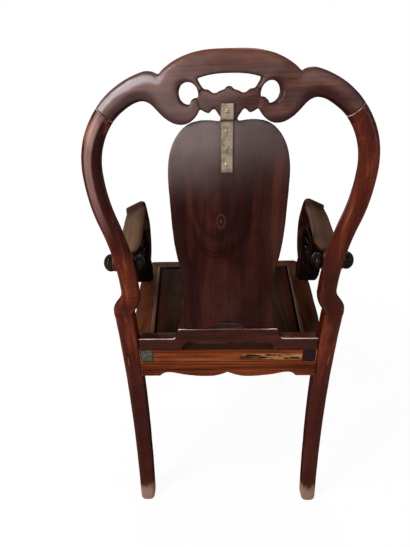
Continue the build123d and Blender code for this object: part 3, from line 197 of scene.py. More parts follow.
class Shader:
    """Builds the nodes of one material or of the surroundings."""

    def __init__(self, owner: bpy.types.Material | bpy.types.World) -> None:
        """Empties the owner's node tree and starts from its Object coordinates.

        Args:
            owner: the material or world.
        """
        owner.use_nodes = True
        self.owner = owner
        self.tree = owner.node_tree
        self.tree.nodes.clear()

    def node(
        self, kind: str, settings: dict | None = None, inputs: dict | None = None, output: str | int = 0
    ) -> Signal:
        """Adds any node.

        Args:
            kind: the node's type name.
            settings: properties that are set first; "stops" sets a ramp's stops.
            inputs: values or signals by socket name or number.
            output: the output that is returned.

        Returns:
            The chosen output as a signal.
        """
        node = self.tree.nodes.new(kind)
        for key, value in (settings or {}).items():
            if key == "stops":
                ramp = node.color_ramp
                while len(ramp.elements) < len(value):
                    ramp.elements.new(0.5)
                for element, (position, colour) in zip(ramp.elements, value):
                    element.position = position
                    element.color = (*colour, 1.0)
            else:
                setattr(node, key, value)
        for key, value in (inputs or {}).items():
            socket = node.inputs[key]
            if isinstance(value, Signal):
                self.tree.links.new(value.socket, socket)
            elif isinstance(value, (tuple, list)) and socket.type == "RGBA" and len(value) == 3:
                socket.default_value = (*value, 1.0)
            else:
                socket.default_value = value
        return Signal(self, node, output) if len(node.outputs) else None

    def place(self) -> Signal:
        """Object coordinates, which are the chair's own."""
        return self.node("ShaderNodeTexCoord", output="Object")

    def stretched(
        self, scale: Sequence[float], turn: Sequence[float] = (0, 0, 0), shift: Sequence[float] = (0, 0, 0)
    ) -> Signal:
        """Object coordinates turned, moved and scaled.

        Args:
            scale: factors along X, Y and Z.
            turn: Euler angles in radians.
            shift: offset in metres.

        Returns:
            The mapped coordinates.
        """
        inputs = {"Vector": self.place(), "Location": shift, "Rotation": turn, "Scale": scale}
        return self.node("ShaderNodeMapping", {}, inputs)

    def noise(
        self, where: Signal, scale: float = 1.0, detail: float = 3.0, rough: float = 0.5, warp: float = 0.0
    ) -> Signal:
        """Noise value from 0 to 1.

        Args:
            where: coordinates.
            scale: repeats per unit.
            detail: octaves.
            rough: weight of the fine octaves.
            warp: distortion.

        Returns:
            The noise.
        """
        inputs = {"Vector": where, "Scale": scale, "Detail": detail, "Roughness": rough, "Distortion": warp}
        return self.node("ShaderNodeTexNoise", {}, inputs)

    def parts(self, vector: Signal) -> tuple[Signal, Signal, Signal]:
        """X, Y and Z of a vector signal."""
        x = self.node("ShaderNodeSeparateXYZ", {}, {0: vector})
        return x, x.other(1), x.other(2)

    def mix(self, factor: object, first: object, second: object, blend: str = "MIX") -> Signal:
        """Mixes two colours.

        Args:
            factor: signal or number from 0 to 1.
            first: colour or signal at 0.
            second: colour or signal at 1.
            blend: blending mode.

        Returns:
            The mixed colour.
        """
        settings = {"data_type": "RGBA", "blend_type": blend}
        return self.node("ShaderNodeMix", settings, {0: factor, 6: first, 7: second}, output=2)

    def wear(self) -> Signal:
        """How far the surface stands out, as stored on the mesh."""
        return self.node("ShaderNodeAttribute", {"attribute_name": "wear"}, output="Fac")

    def facing(self) -> tuple[Signal, Signal, Signal]:
        """X, Y and Z of the surface's own direction."""
        return self.parts(self.node("ShaderNodeNewGeometry", output="Normal"))

    def bump(self, height: Signal, strength: float, distance: float) -> Signal:
        """Bumped normal from a height signal."""
        inputs = {"Height": height, "Strength": strength, "Distance": distance}
        return self.node("ShaderNodeBump", {}, inputs)

    def seen(self) -> Signal:
        """1 for what the camera sees directly, in a reflection or through glass."""
        camera = self.node("ShaderNodeLightPath", output="Is Camera Ray")
        return camera.most(camera.other("Is Glossy Ray")).most(camera.other("Is Transmission Ray"))

    def surface(self, **sockets: object) -> Signal:
        """Principled surface; its arguments are sockets with _ for a space."""
        inputs = {key.replace("_", " "): value for key, value in sockets.items()}
        return self.node("ShaderNodeBsdfPrincipled", {}, inputs)

    def close(self, surface: Signal) -> None:
        """Connects the surface to the output."""
        kind = "World" if isinstance(self.owner, bpy.types.World) else "Material"
        self.node("ShaderNodeOutput" + kind, {}, {"Surface": surface})


# ---------------------------------------------------------------- finishes
class Grain(Enum):
    """Direction in which the wood's fibres run."""

    ALONG_X = 0
    ALONG_Y = 1
    ALONG_Z = 2


@dataclass(frozen=True)
class Coat:
    """What one spot of a surface looks like while a finish is being mixed."""

    base: Signal
    rough: Signal

    def over(self, shader: Shader, mask: object, colour: object, rougher: float = 0.0) -> "Coat":
        """The coat with another colour laid over it.

        Args:
            shader: the material.
            mask: where it lies, from 0 to 1.
            colour: the colour or colour signal.
            rougher: what it adds to the roughness.

        Returns:
            The new coat.
        """
        return Coat(shader.mix(mask, self.base, colour), self.rough + mask * rougher)


@dataclass(frozen=True)
class WoodFinish:
    """Old polished hardwood: dark and light fibres, pores, stains, a colour on the edges that stand out (rubbed wood
    on most finishes, a painted highlight on the scroll and hump rail, painted shade on the crest) and dust.
    """

    name: str
    deep: Colour
    mid: Colour
    light: Colour
    grain: Grain = Grain.ALONG_Z
    contrast: float = 0.38
    rough: float = 0.36
    shine: float = 0.0
    polish: float = 0.14
    polish_rough: float = 0.2
    # Colour of the edges that stand out, and its strength: rubbed wood on most finishes, a painted highlight on the
    # scroll and hump rail, painted shade on the crest.
    edge: Colour = (0.2, 0.07, 0.035)
    edge_wear_and_painted_light: float = 0.5
    stains: float = 0.5
    pores: float = 0.5
    relief: float = 0.22
    relief_depth: float = 1.1 * MM
    glue: Colour = (0.42, 0.33, 0.28)
    seed: float = 0.0

    def fibres(self, shader: Shader, along: float, across: float) -> Signal:
        """Coordinates stretched so that patterns run with the grain.

        Args:
            shader: the material.
            along: repeats per metre along the fibres.
            across: repeats per metre across them.

        Returns:
            The coordinates.
        """
        scale = [across, across, across]
        scale[self.grain.value] = along
        return shader.stretched(scale, shift=(self.seed, self.seed * 1.7, self.seed * 0.6))

    def figure(self, shader: Shader) -> Signal:
        """Broad bands of dark and light wood.

        Args:
            shader: the material.

        Returns:
            The bands, from 0 to 1.
        """
        bands = shader.noise(self.fibres(shader, 2.0, 30.0), 1.0, 3.0, 0.55, 0.5)
        sway = shader.noise(self.fibres(shader, 2.6, 9.0), 1.0, 2.0)
        return (bands + (sway - 0.5) * 0.6).step(0.22, 0.8)

    def clean(self, shader: Shader, figure: Signal) -> Signal:
        """Colour of the clean wood.

        Args:
            shader: the material.
            figure: the broad bands, from 0 to 1.

        Returns:
            The colour.
        """
        fine = shader.noise(self.fibres(shader, 9.0, 300.0), 1.0, 5.0, 0.62)
        streaks = shader.noise(self.fibres(shader, 3.5, 110.0), 1.0, 4.0, 0.6, 0.3)
        tone = (figure * 0.5 + streaks * 0.42 + fine * 0.38 - 0.15).step(0.5 - self.contrast, 0.5 + self.contrast)
        stops = [(0.0, self.deep), (0.5, self.mid), (1.0, self.light)]
        return shader.node("ShaderNodeValToRGB", {"stops": stops}, {"Fac": tone})

    def marks(self, shader: Shader, coat: Coat) -> Coat:
        """Marks that only this finish has; the plain finish has none."""
        return coat

    def material(self) -> bpy.types.Material:
        """Builds the material.

        Returns:
            The finished material.
        """
        shader = Shader(bpy.data.materials.new(self.name))
        figure = self.figure(shader)
        blotch = shader.noise(shader.place(), 11.0, 4.0, 0.6)
        rub = shader.noise(shader.place(), 70.0, 4.0, 0.65)
        pores = shader.noise(self.fibres(shader, 50.0, 850.0), 1.0, 2.0, 0.5).step(0.6, 0.74)
        coat = Coat(self.clean(shader, figure), self.rough + (blotch - 0.5) * 0.2 + (rub - 0.5) * 0.12)
        coat = coat.over(shader, pores * self.pores, tuple(c * 0.3 for c in self.deep), 0.2)
        coat = coat.over(shader, blotch.step(0.45, 0.72) * self.stains, self.deep)
        # Edges that stand out: rubbed wood on most finishes, a painted highlight on the scroll and hump rail, painted
        # shade on the crest.
        edge_wear_and_painted_light_mask = (shader.wear() * (0.55 + rub)).step(0.3, 1.0) * self.edge_wear_and_painted_light
        coat = coat.over(shader, edge_wear_and_painted_light_mask, self.edge, -0.04)
        coat = self.marks(shader, coat)
        grooves = shader.noise(self.fibres(shader, 14.0, 340.0), 1.0, 4.0, 0.6)
        height = grooves * 0.5 - pores * 0.7 + shader.noise(shader.place(), 38.0, 3.0, 0.5) * 1.3
        surface = shader.surface(
            Base_Color=coat.base, Roughness=coat.rough.most(0.08), Specular_IOR_Level=self.shine,
            Coat_Weight=self.gloss(shader, coat), Coat_Roughness=self.polish_rough,
            Normal=shader.bump(height, self.relief, self.relief_depth),
        )
        shader.close(surface)
        return shader.owner

    def gloss(self, shader: Shader, coat: Coat) -> Signal:
        """Strength of the polish: patchy, dull where the wood is rough or seen edge on.

        Args:
            shader: the material.
            coat: the marked wood.

        Returns:
            The weight of the polish.
        """
        turned_away = shader.node("ShaderNodeLayerWeight", {}, {"Blend": 0.5}, output="Facing")
        patchy = shader.noise(shader.place(), 30.0, 4.0, 0.6).step(0.25, 0.6) * 0.5 + 0.5
        return patchy * (1.0 - coat.rough).step(0.2, 0.6) * turned_away.step(0.9, 0.4) * self.polish

    def seam(self, shader: Shader, coat: Coat) -> Coat:
        """Draws the pale glue line where post and crest rail meet.

        Args:
            shader: the material.
            coat: the wood without it.

        Returns:
            The wood with the line.
        """
        x, y, z = shader.parts(shader.place())
        rise = (y - BACK_FOOT_Y) * math.sin(RAKE) + z * math.cos(RAKE)
        off = (rise - SHOULDER_RISE) * math.cos(SEAM_ANGLE) - (x.size() - SHOULDER_X) * math.sin(SEAM_ANGLE)
        gap = shader.noise(shader.place(), 120.0, 3.0).step(0.3, 0.55)
        coat = coat.over(shader, off.band(0.0, 0.0018, 0.0016) * 0.55, self.deep, 0.1)
        return coat.over(shader, off.band(0.0, 0.0005, 0.0005) * gap * 0.75, self.glue, 0.3)


@dataclass(frozen=True)
class HoopFinish(WoodFinish):
    """Red glossy wood of the legs and posts: orange rubbed patches, a painted highlight high on the left post, painted
    shade on the sides and below the seat, bare at the feet.
    """

    scuff: Colour = (0.26, 0.075, 0.028)
    sole: Colour = (0.2, 0.12, 0.085)
    # Colour of the painted highlight high on the left post.
    lacquer_and_painted_light: Colour = (0.34, 0.2, 0.18)
    # Colour of the painted shade on the legs below the seat.
    shade: Colour = (0.024, 0.0025, 0.001)
    chip: Colour = (0.36, 0.22, 0.17)
    scrape: Colour = (0.2, 0.12, 0.09)
    scrape_at: Zone = (0.2105, 0.432)

    def marks(self, shader: Shader, coat: Coat) -> Coat:
        """Orange rubbed patches, a painted highlight, painted shade on the sides and below the seat, curly figure at
        the knees, chips, bare feet and the seam.

        Args:
            shader: the material.
            coat: the clean wood.

        Returns:
            The marked wood.
        """
        x, y, z = shader.parts(shader.place())
        patches = shader.noise(self.fibres(shader, 9.0, 60.0), 1.0, 5.0, 0.65).step(0.55, 0.72)
        coat = coat.over(shader, patches * z.step(0.56, 0.66) * 0.6, self.scuff)
        side, rear, _ = shader.facing()
        rubbed = shader.noise(shader.stretched((40.0, 40.0, 5.0)), 1.0, 4.0, 0.6).step(0.3, 0.65)
        # Painted highlight on the left post between 0.7 and 0.86 m up, where it faces back and slightly left, broken
        # into patches by the noise.
        lacquer_and_painted_light = side.band(0.17, 0.2, 0.24) * rear.step(0.3, 0.7) * z.step(0.7, 0.86) * x.step(0.1, 0.15)
        coat = coat.over(shader, lacquer_and_painted_light * (0.25 + rubbed * 0.75) * 0.68, self.lacquer_and_painted_light, 0.04)
        # Painted shade on every face of the legs and posts that turns away from the back.
        coat = coat.over(shader, rear.step(0.6, 0.1) * 0.55, self.deep)
        curl = shader.noise(shader.stretched((9.0, 9.0, 240.0)), 1.0, 3.0, 0.6).step(0.5, 0.7)
        coat = coat.over(shader, curl * z.band(0.6, 0.03, 0.06) * 0.75, self.deep)
        nicks = shader.noise(shader.stretched((130.0, 130.0, 420.0)), 1.0, 3.0, 0.6).step(0.71, 0.76)
        coat = coat.over(shader, nicks * 0.7, self.chip, 0.15)
        bare = shader.noise(shader.stretched((70.0, 70.0, 22.0)), 1.0, 5.0, 0.7)
        foot = (z.step(0.075, 0.012) * 0.75 + bare - 0.5).step(0.18, 0.62)
        # Painted shade on the legs below the seat, darkest under 0.3 m.
        coat = coat.over(shader, z.step(0.5, 0.3) * 0.8, self.shade, 0.12)
        coat = coat.over(shader, foot * z.step(0.1, 0.07) * (y.step(0.0, 0.1) * 0.6 + 0.4), self.sole, 0.25)
        across = x.size().band(self.scrape_at[0], 0.0009, 0.0007)
        scrape = across * z.band(self.scrape_at[1], 0.011, 0.002) * y.step(0.1, 0.12)
        coat = coat.over(shader, scrape * 0.3, self.scrape, 0.2)
        return self.seam(shader, coat)


@dataclass(frozen=True)
class CrestFinish(WoodFinish):
    """Purple-brown wood of the crest rail: a rubbed top edge, clouded lacquer over the broad faces painted paler
    towards the left as painted light, a painted highlight on the shoulders, and painted shade on the sides and
    undersides.
    """

    rim: Colour = (0.115, 0.034, 0.011)
    # Colour of the clouded lacquer, painted paler to the left as painted light.
    lacquer_and_reflection_tint: Colour = (0.24, 0.17, 0.16)
    warm: Colour = (0.13, 0.035, 0.02)
    # Colour of the painted highlight on the shoulders.
    painted_shoulder_highlight: Colour = (0.4, 0.36, 0.37)
    # Colour of the painted shade on the sides and undersides.
    dark: Colour = (0.02, 0.004, 0.003)

    def marks(self, shader: Shader, coat: Coat) -> Coat:
        """Ruddy patches, clouded lacquer with painted light towards the left, a painted highlight on the shoulders,
        painted shade on the sides and undersides, the rim and the seam.

        Args:
            shader: the material.
            coat: the clean wood.

        Returns:
            The marked wood.
        """
        x, _, z = shader.parts(shader.place())
        _, rear, up = shader.facing()
        ruddy = shader.noise(shader.stretched((9.0, 9.0, 40.0), shift=(2.0, 0.0, 0.4)), 1.0, 4.0, 0.6)
        coat = coat.over(shader, ruddy.step(0.5, 0.72) * 0.6, self.warm)
        fibres = shader.noise(self.fibres(shader, 5.0, 260.0), 1.0, 4.0, 0.7).step(0.5, 0.7)
        coat = coat.over(shader, fibres * 0.55, self.deep, 0.05)
        cloud = shader.noise(shader.stretched((7.0, 7.0, 16.0)), 1.0, 4.0, 0.6)
        # Paler towards the left: painted light, used in the clouded lacquer and in the painted shoulder highlight.
        left = x.step(-0.12, 0.17)
        # Clouded lacquer, with painted light added towards the left.
        lacquer_and_painted_light = (cloud + left * 0.35).step(0.42, 0.95)
        coat = coat.over(shader, lacquer_and_painted_light * 0.4, self.lacquer_and_reflection_tint, 0.08)
        shoulder = x.size().step(0.085, 0.11)
        # Painted highlight on the upward-tilted faces of the shoulders, mostly on the left.
        painted_shoulder_highlight = up.band(0.34, 0.12, 0.22) * shoulder * (0.06 + left * 0.94) * (0.5 + cloud)
        coat = coat.over(shader, painted_shoulder_highlight * 0.58, self.painted_shoulder_highlight, -0.02)
        # Painted shade on faces that turn away from the back, deeper on the shoulders.
        coat = coat.over(shader, rear.step(0.9, 0.4) * (0.62 + shoulder * 0.3), self.dark)
        # Painted shade on the undersides.
        coat = coat.over(shader, up.step(0.02, -0.42) * 0.7, self.dark)
        streak = shader.noise(self.fibres(shader, 7.0, 120.0), 1.0, 4.0, 0.6).step(0.35, 0.7)
        top = up.step(0.25, 0.75) * z.step(0.93, 0.96)
        coat = coat.over(shader, top * (1.0 - shoulder * 0.85) * (0.45 + streak * 0.5), self.rim, -0.05)
        return self.seam(shader, coat)


@dataclass(frozen=True)
class PanelFinish(WoodFinish):
    """Wood of the wide splat: ovals of figure round a knot, clouded lacquer with a painted reflection at the top,
    paler towards the left, and darker towards the bottom.
    """

    heart: Zone = (0.0175, 0.775)
    heart_half: Zone = (0.056, 0.098)
    knot: Zone = (0.0128, 0.745)
    knot_half: Zone = (0.008, 0.014)
    ovals: tuple[tuple[float, float, float], ...] = (
        (1.0, 0.012, 0.6), (0.9, 0.008, 0.45), (0.8, 0.006, 0.3), (0.6, 0.006, 0.25))
    lines: tuple[tuple[float, float, float], ...] = ((0.0665, 0.0012, 0.83), (-0.079, 0.0035, 0.85))
    # Colour of the clouded lacquer and the painted reflection at the top of the splat.
    lacquer_and_reflection_tint: Colour = (0.21, 0.165, 0.16)
    streak: Colour = (0.11, 0.028, 0.014)
    knot_ring: Colour = (0.075, 0.034, 0.02)
    knot_heart: Colour = (0.12, 0.035, 0.014)
    # Colour that darkens the lower splat.
    low_darkening: Colour = (0.035, 0.018, 0.017)

    def rings(self, shader: Shader, middle: Zone, half: Zone, warp: float) -> Signal:
        """Distance from an oval's middle in its own half sizes, slightly wavy.

        Args:
            shader: the material.
            middle: X and height of the middle.
            half: half width and half height.
            warp: how wavy it is.

        Returns:
            The distance, 1 on the oval.
        """
        x, _, z = shader.parts(shader.place())
        dx = (x - middle[0]) / half[0]
        dz = (z - middle[1]) / half[1]
        wave = shader.noise(shader.stretched((16.0, 1.0, 6.0)), 1.0, 3.0) - 0.5
        return (dx * dx + dz * dz).root() + wave * warp

    def figure(self, shader: Shader) -> Signal:
        """Faint long ovals about the board's heart over a straight figure.

        Args:
            shader: the material.

        Returns:
            The figure, from 0 to 1.
        """
        reach = self.rings(shader, self.heart, self.heart_half, 0.35)
        ovals = (reach * 19.0).sine() * 0.5 + 0.5
        broad = shader.noise(self.fibres(shader, 1.6, 22.0), 1.0, 3.0, 0.5, 0.6)
        return (broad + (ovals - 0.5) * reach.step(1.12, 0.9) * 0.1).step(0.2, 0.85)

    def marks(self, shader: Shader, coat: Coat) -> Coat:
        """Oval outlines, knot, red streaks, the dark streak by the strap, clouded lacquer with a painted reflection at
        the top, and darker towards the bottom.

        Args:
            shader: the material.
            coat: the clean wood.

        Returns:
            The marked wood.
        """
        x, _, z = shader.parts(shader.place())
        broken = shader.noise(shader.stretched((60.0, 1.0, 9.0)), 1.0, 4.0, 0.6).step(0.3, 0.6)
        reach = self.rings(shader, self.heart, self.heart_half, 0.25)
        for ring, width, depth in self.ovals:
            coat = coat.over(shader, reach.band(ring, width, 0.03) * z.step(0.86, 0.74) * depth, self.deep)
        for place, half, top in self.lines:
            line = x.band(place, half, 0.006) * z.band(top - 0.07, 0.03, 0.08)
            coat = coat.over(shader, line * (0.05 + broken * 0.25), self.streak)
        coat = coat.over(shader, x.band(-0.03, 0.004, 0.012) * z.band(0.79, 0.05, 0.05) * broken * 0.8, self.deep)
        knot = self.rings(shader, self.knot, self.knot_half, 0.7)
        coat = coat.over(shader, knot.band(0.85, 0.06, 0.16) * 0.4, self.knot_ring, 0.1)
        coat = coat.over(shader, knot.step(0.4, 0.1) * 0.6, self.knot_heart)
        cloud = shader.noise(shader.stretched((9.0, 1.0, 11.0)), 1.0, 4.0, 0.55)
        # Painted reflection with clouded lacquer: strongest at the top and towards the left.
        side = (x * 2.2 + 0.28).most(0.0)
        lacquer_and_painted_light = z.step(0.745, 0.925) * (0.35 + side) * (0.3 + cloud * 1.3)
        coat = coat.over(shader, lacquer_and_painted_light.step(0.0, 1.1), self.lacquer_and_reflection_tint, 0.12)
        # Darker towards the bottom, in cloudy patches.
        low_darkening = shader.noise(shader.stretched((14.0, 1.0, 6.0)), 1.0, 3.0, 0.5).step(0.45, 0.8)
        return coat.over(shader, low_darkening * z.step(0.85, 0.7) * 0.35, self.low_darkening, 0.05)


@dataclass(frozen=True)
class HumpFinish(WoodFinish):
    """Dark red wood of the hump-backed rail, with a painted highlight along its upper arris."""

    # Colour of the painted highlight along the upper arris.
    painted_arris_highlight: Colour = (0.62, 0.5, 0.46)
    dust: Colour = (0.03, 0.016, 0.01)

    def marks(self, shader: Shader, coat: Coat) -> Coat:
        """Painted highlight along the rear top arris, fainter in the middle, and dust on the ledge before it.

        Args:
            shader: the material.
            coat: the clean wood.

        Returns:
            The marked wood.
        """
        x, y, _ = shader.parts(shader.place())
        _, rear, up = shader.facing()
        broken = shader.noise(self.fibres(shader, 14.0, 90.0), 1.0, 3.0, 0.6).step(0.25, 0.6)
        ends = x.size().step(0.05, 0.09) * 0.85 + 0.15
        # Painted highlight along the rounded rear top arris, fainter in the middle.
        line = up.band(0.72, 0.07, 0.12) * rear.step(0.3, 0.5) * ends * (0.35 + broken * 0.65)
        coat = coat.over(shader, line, self.painted_arris_highlight, -0.1)
        ledge = up.step(0.9, 0.98) * y.step(REAR_FACE_Y - 0.012, REAR_FACE_Y - 0.02)
        return coat.over(shader, ledge * 0.8, self.dust, 0.2)


@dataclass(frozen=True)
class RailFinish(WoodFinish):
    """Orange-brown wood of the rear rail, split and rubbed bare on one side."""

    bare: Colour = (0.42, 0.2, 0.09)
    dust: Colour = (0.032, 0.015, 0.009)
    pit: Colour = (0.02, 0.008, 0.005)
    split_at: Zone = (-0.094, 0.4435)
    hollow_at: Zone = (-0.048, 0.4405)

    def marks(self, shader: Shader, coat: Coat) -> Coat:
        """Dark fine lines, a pale splintered patch with dark pits, and dust on top.

        Args:
            shader: the material.
            coat: the clean wood.

        Returns:
            The marked wood.
        """
        x, _, z = shader.parts(shader.place())
        _, _, up = shader.facing()
        lines = shader.noise(shader.stretched((5.0, 5.0, 420.0)), 1.0, 4.0, 0.7)
        coat = coat.over(shader, lines.step(0.47, 0.62) * 0.8, self.deep, 0.1)
        torn = shader.noise(shader.stretched((20.0, 20.0, 330.0)), 1.0, 4.0, 0.7)
        field = x.band(self.split_at[0], 0.052, 0.03) * z.band(self.split_at[1], 0.004, 0.011)
        coat = coat.over(shader, (torn * field).step(0.36, 0.5) * 0.7, self.bare, 0.3)
        pits = shader.noise(shader.stretched((42.0, 42.0, 300.0), shift=(0.7, 0, 0.3)), 1.0, 3.0, 0.6)
        dark = (pits * field).step(0.45, 0.53)
        hollow = x.band(self.hollow_at[0], 0.018, 0.012) * z.band(self.hollow_at[1], 0.003, 0.004)
        coat = coat.over(shader, dark.most(hollow * 0.8), self.pit, 0.3)
        return coat.over(shader, up.step(0.7, 0.9) * 0.9, self.dust, 0.3)


@dataclass(frozen=True)
class SeatSideFinish(WoodFinish):
    """Side rails of the seat: taupe film over orange streaks, dark end grain where a tenon comes through."""

    film: Colour = (0.05, 0.024, 0.013)
    end_left: Colour = (0.045, 0.042, 0.034)
    end_right: Colour = (0.018, 0.008, 0.011)
    arc: Colour = (0.16, 0.15, 0.12)

    def marks(self, shader: Shader, coat: Coat) -> Coat:
        """Film on top and the through-tenons' dark ends.

        Args:
            shader: the material.
            coat: the clean wood.

        Returns:
            The marked wood.
        """
        x, y, _ = shader.parts(shader.place())
        _, _, up = shader.facing()
        cloud = shader.noise(shader.stretched((30.0, 9.0, 30.0)), 1.0, 4.0, 0.6).step(0.3, 0.7)
        coat = coat.over(shader, up.step(0.6, 0.9) * cloud * 0.7, self.film, 0.1)
        end = y.step(REAR_FACE_Y - 0.003, REAR_FACE_Y - 0.0015)
        left = x.step(-0.01, 0.01)
        coat = coat.over(shader, end, shader.mix(left, self.end_right, self.end_left), 0.2)
        arc = shader.noise(shader.stretched((70.0, 70.0, 160.0), turn=(0, 0.5, 0)), 1.0, 2.0).band(0.5, 0.012, 0.02)
        return coat.over(shader, end * left * arc * 0.5, self.arc, 0.1)


@dataclass(frozen=True)
class BoardFinish(WoodFinish):
    """Seat boards: painted shade in the groove along the frame, then a dark red strip, then olive brown."""

    strip: Colour = (0.028, 0.005, 0.003)
    # Colour of the painted shade in the groove at the frame.
    painted_groove_shade: Colour = (0.004, 0.002, 0.0015)

    def marks(self, shader: Shader, coat: Coat) -> Coat:
        """Red strips along the sides of the panel, painted shade in the groove against the frame.

        Args:
            shader: the material.
            coat: the clean wood.

        Returns:
            The marked wood.
        """
        x, y, _ = shader.parts(shader.place())
        slope = (PANEL_FRONT_HALF - PANEL_REAR_HALF) / (PANEL_REAR_Y - PANEL_FRONT_Y)
        edge = (PANEL_REAR_Y - y) * slope + PANEL_REAR_HALF - x.size()
        coat = coat.over(shader, edge.step(0.026, 0.016) * 0.75, self.strip)
        # Painted shade in the groove where the panel meets the side rails.
        coat = coat.over(shader, edge.step(0.0075, 0.0045), self.painted_groove_shade, 0.2)
        # The same painted shade along the panel's front end.
        ends = (y - PANEL_FRONT_Y).step(0.006, 0.002)
        return coat.over(shader, ends, self.painted_groove_shade, 0.2)


@dataclass(frozen=True)
class ArmFinish(WoodFinish):
    """Arms: a dull taupe film on what faces up, black-red polish on the sides and below."""

    film: Colour = (0.12, 0.065, 0.038)
    thin: Colour = (0.03, 0.0125, 0.0075)

    def marks(self, shader: Shader, coat: Coat) -> Coat:
        """Film that thins towards the front, streaked along the arm.

        Args:
            shader: the material.
            coat: the clean wood.

        Returns:
            The marked wood.
        """
        _, y, _ = shader.parts(shader.place())
        _, _, up = shader.facing()
        streak = shader.noise(shader.stretched((150.0, 8.0, 60.0)), 1.0, 4.0, 0.6)
        rear = y.step(0.0, 0.18)
        tone = shader.mix(rear * 0.9 + (streak - 0.5) * 0.8 - 0.05, self.thin, self.film)
        coat = coat.over(shader, up.step(0.25, 0.7) * (0.72 + streak * 0.3), tone, 0.12)
        return coat.over(shader, shader.wear() * up.step(0.1, 0.5) * 0.35, self.film, 0.0)


@dataclass(frozen=True)
class BrassFinish:
    """Dull brass with tarnish in patches, fine scratches, and painted shade and shadow along its edges, underneath and
    under its crank.
    """

    name: str
    clean: Colour
    tarnish: Colour
    # Colour of the painted shade and shadow.
    painted_shadow: Colour = (0.03, 0.022, 0.016)
    rough: float = 0.36
    middle: float = 3.0 * MM
    crank_at: float = 908.6 * MM

    def material(self) -> bpy.types.Material:
        """Builds the material.

        Returns:
            The finished material.
        """
        shader = Shader(bpy.data.materials.new(self.name))
        cloud = shader.noise(shader.place(), 75.0, 5.0, 0.65)
        spots = shader.noise(shader.place(), 420.0, 3.0, 0.6).step(0.6, 0.75)
        scratch = shader.noise(shader.stretched((300.0, 300.0, 1900.0), turn=(0.0, 0.35, 0.0)), 1.0, 3.0, 0.6)
        dull = (cloud.step(0.35, 0.68) * 0.9 + spots * 0.5 - shader.wear() * 0.55).most(0.0)
        x, _, z = shader.parts(shader.place())
        _, rear, up = shader.facing()
        base = shader.mix(dull, self.clean, self.tarnish)
        # Painted shadow along both long edges of the strap.
        edges = (x - self.middle).size().step(0.0078, 0.0092) * 0.7
        # Painted shadow line under the step of the crank.
        crank = z.band(self.crank_at, 0.0009, 0.0008) * 0.85
        # Painted shade on faces turned away from the back and on faces turned down, joined with both painted shadows.
        painted_shadow_mask = rear.step(0.9, 0.55).most(up.step(-0.2, -0.6)).most(edges).most(crank)
        base = shader.mix(painted_shadow_mask, base, self.painted_shadow)
        rough = self.rough + dull * 0.25 + (scratch - 0.5) * 0.2
        normal = shader.bump(scratch * 0.4 + cloud * 1.4 - spots * 0.3, 0.35, 0.0006)
        shader.close(shader.surface(Base_Color=base, Roughness=rough.most(0.1), Metallic=1.0, Normal=normal))
        return shader.owner


# ---------------------------------------------------------------- mesh tools
def new_object(name: str, mesh_bm: bmesh.types.BMesh) -> bpy.types.Object:
    """Makes an object from a bmesh and frees the bmesh.

    Args:
        name: the object's name.
        mesh_bm: the finished bmesh.

    Returns:
        The linked object, smooth shaded.
    """
    mesh = bpy.data.meshes.new(name)
    mesh_bm.to_mesh(mesh)
    mesh_bm.free()
    mesh.polygons.foreach_set("use_smooth", [True] * len(mesh.polygons))
    piece = bpy.data.objects.new(name, mesh)
    bpy.context.collection.objects.link(piece)
    return piece


def dress(piece: bpy.types.Object, material: bpy.types.Material, slot: str, *nodes: str) -> None:
    """Gives a piece its material and its place in the frame.

    Args:
        piece: the object.
        material: its material.
        slot: the record's material slot; not used.
        nodes: CAD nodes that it stands for.
    """
    piece.data.materials.clear()
    piece.data.materials.append(material)
    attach(piece, "root")
    if nodes:
        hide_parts(*nodes)
    LOG.info("%s: %d faces", piece.name, len(piece.data.polygons))


def mark_standout(mesh: bpy.types.Mesh, spread: int = 3, gain: float = 5.0) -> None:
    """Stores how far each vertex stands out from its neighbours as the attribute wear.

    Args:
        mesh: the mesh.
        spread: rounds of averaging.
        gain: factor on the result.
    """
    bm = bmesh.new()
    bm.from_mesh(mesh)
    bm.normal_update()
    values = []
    for vert in bm.verts:
        total = 0.0
        for edge in vert.link_edges:
            reach = edge.other_vert(vert).co - vert.co
            total -= reach.dot(vert.normal) / max(reach.length, 1e-9)
        values.append(total / max(len(vert.link_edges), 1))
    for _ in range(spread):
        values = [
            (values[v.index] + sum(values[e.other_vert(v).index] for e in v.link_edges)) / (1 + len(v.link_edges))
            for v in bm.verts
        ]
    bm.free()
    layer = mesh.attributes.get("wear") or mesh.attributes.new("wear", "FLOAT", "POINT")
    layer.data.foreach_set("value", [min(1.0, max(0.0, v * gain)) for v in values])


@dataclass
class EdgePoint:
    """A point on a sharp edge, the directions of its two faces and the radius it is to be eased to."""

    place: Vector
    first: Vector
    second: Vector
    radius: float

    def ease(self, point: Vector) -> Vector:
        """Moves a point near the edge onto the rounded edge.

        Args:
            point: the vertex.

        Returns:
            The new place.
        """
        lean = self.first.dot(self.second)
        if lean < FOLDED:
            return point
        reach = self.radius * math.sqrt((1.0 - lean) / (1.0 + lean))
        if (point - self.place).length > EASE_REACH * reach + EASE_SPARE:
            return point
        out = point - self.place + (self.first + self.second) * (self.radius / (1.0 + lean))
        along = self.first.cross(self.second).normalized()
        out -= along * out.dot(along)
        to_first, to_second = out.dot(self.first), out.dot(self.second)
        if to_first <= lean * to_second or to_second <= lean * to_first or out.length <= self.radius:
            return point
        return point - out * (1.0 - self.radius / out.length)


class EdgeSearch:
    """Finds the nearest of some edge points."""

    def __init__(self, points: Sequence[EdgePoint]) -> None:
        """Builds the search tree.

        Args:
            points: the edge points.
        """
        self.points = points
        self.tree = kdtree.KDTree(len(points))
        for index, point in enumerate(points):
            self.tree.insert(point.place, index)
        self.tree.balance()

    def nearest(self, place: Vector) -> EdgePoint | None:
        """The nearest point, or nothing if there are none."""
        return self.points[self.tree.find(place)[1]] if self.points else None


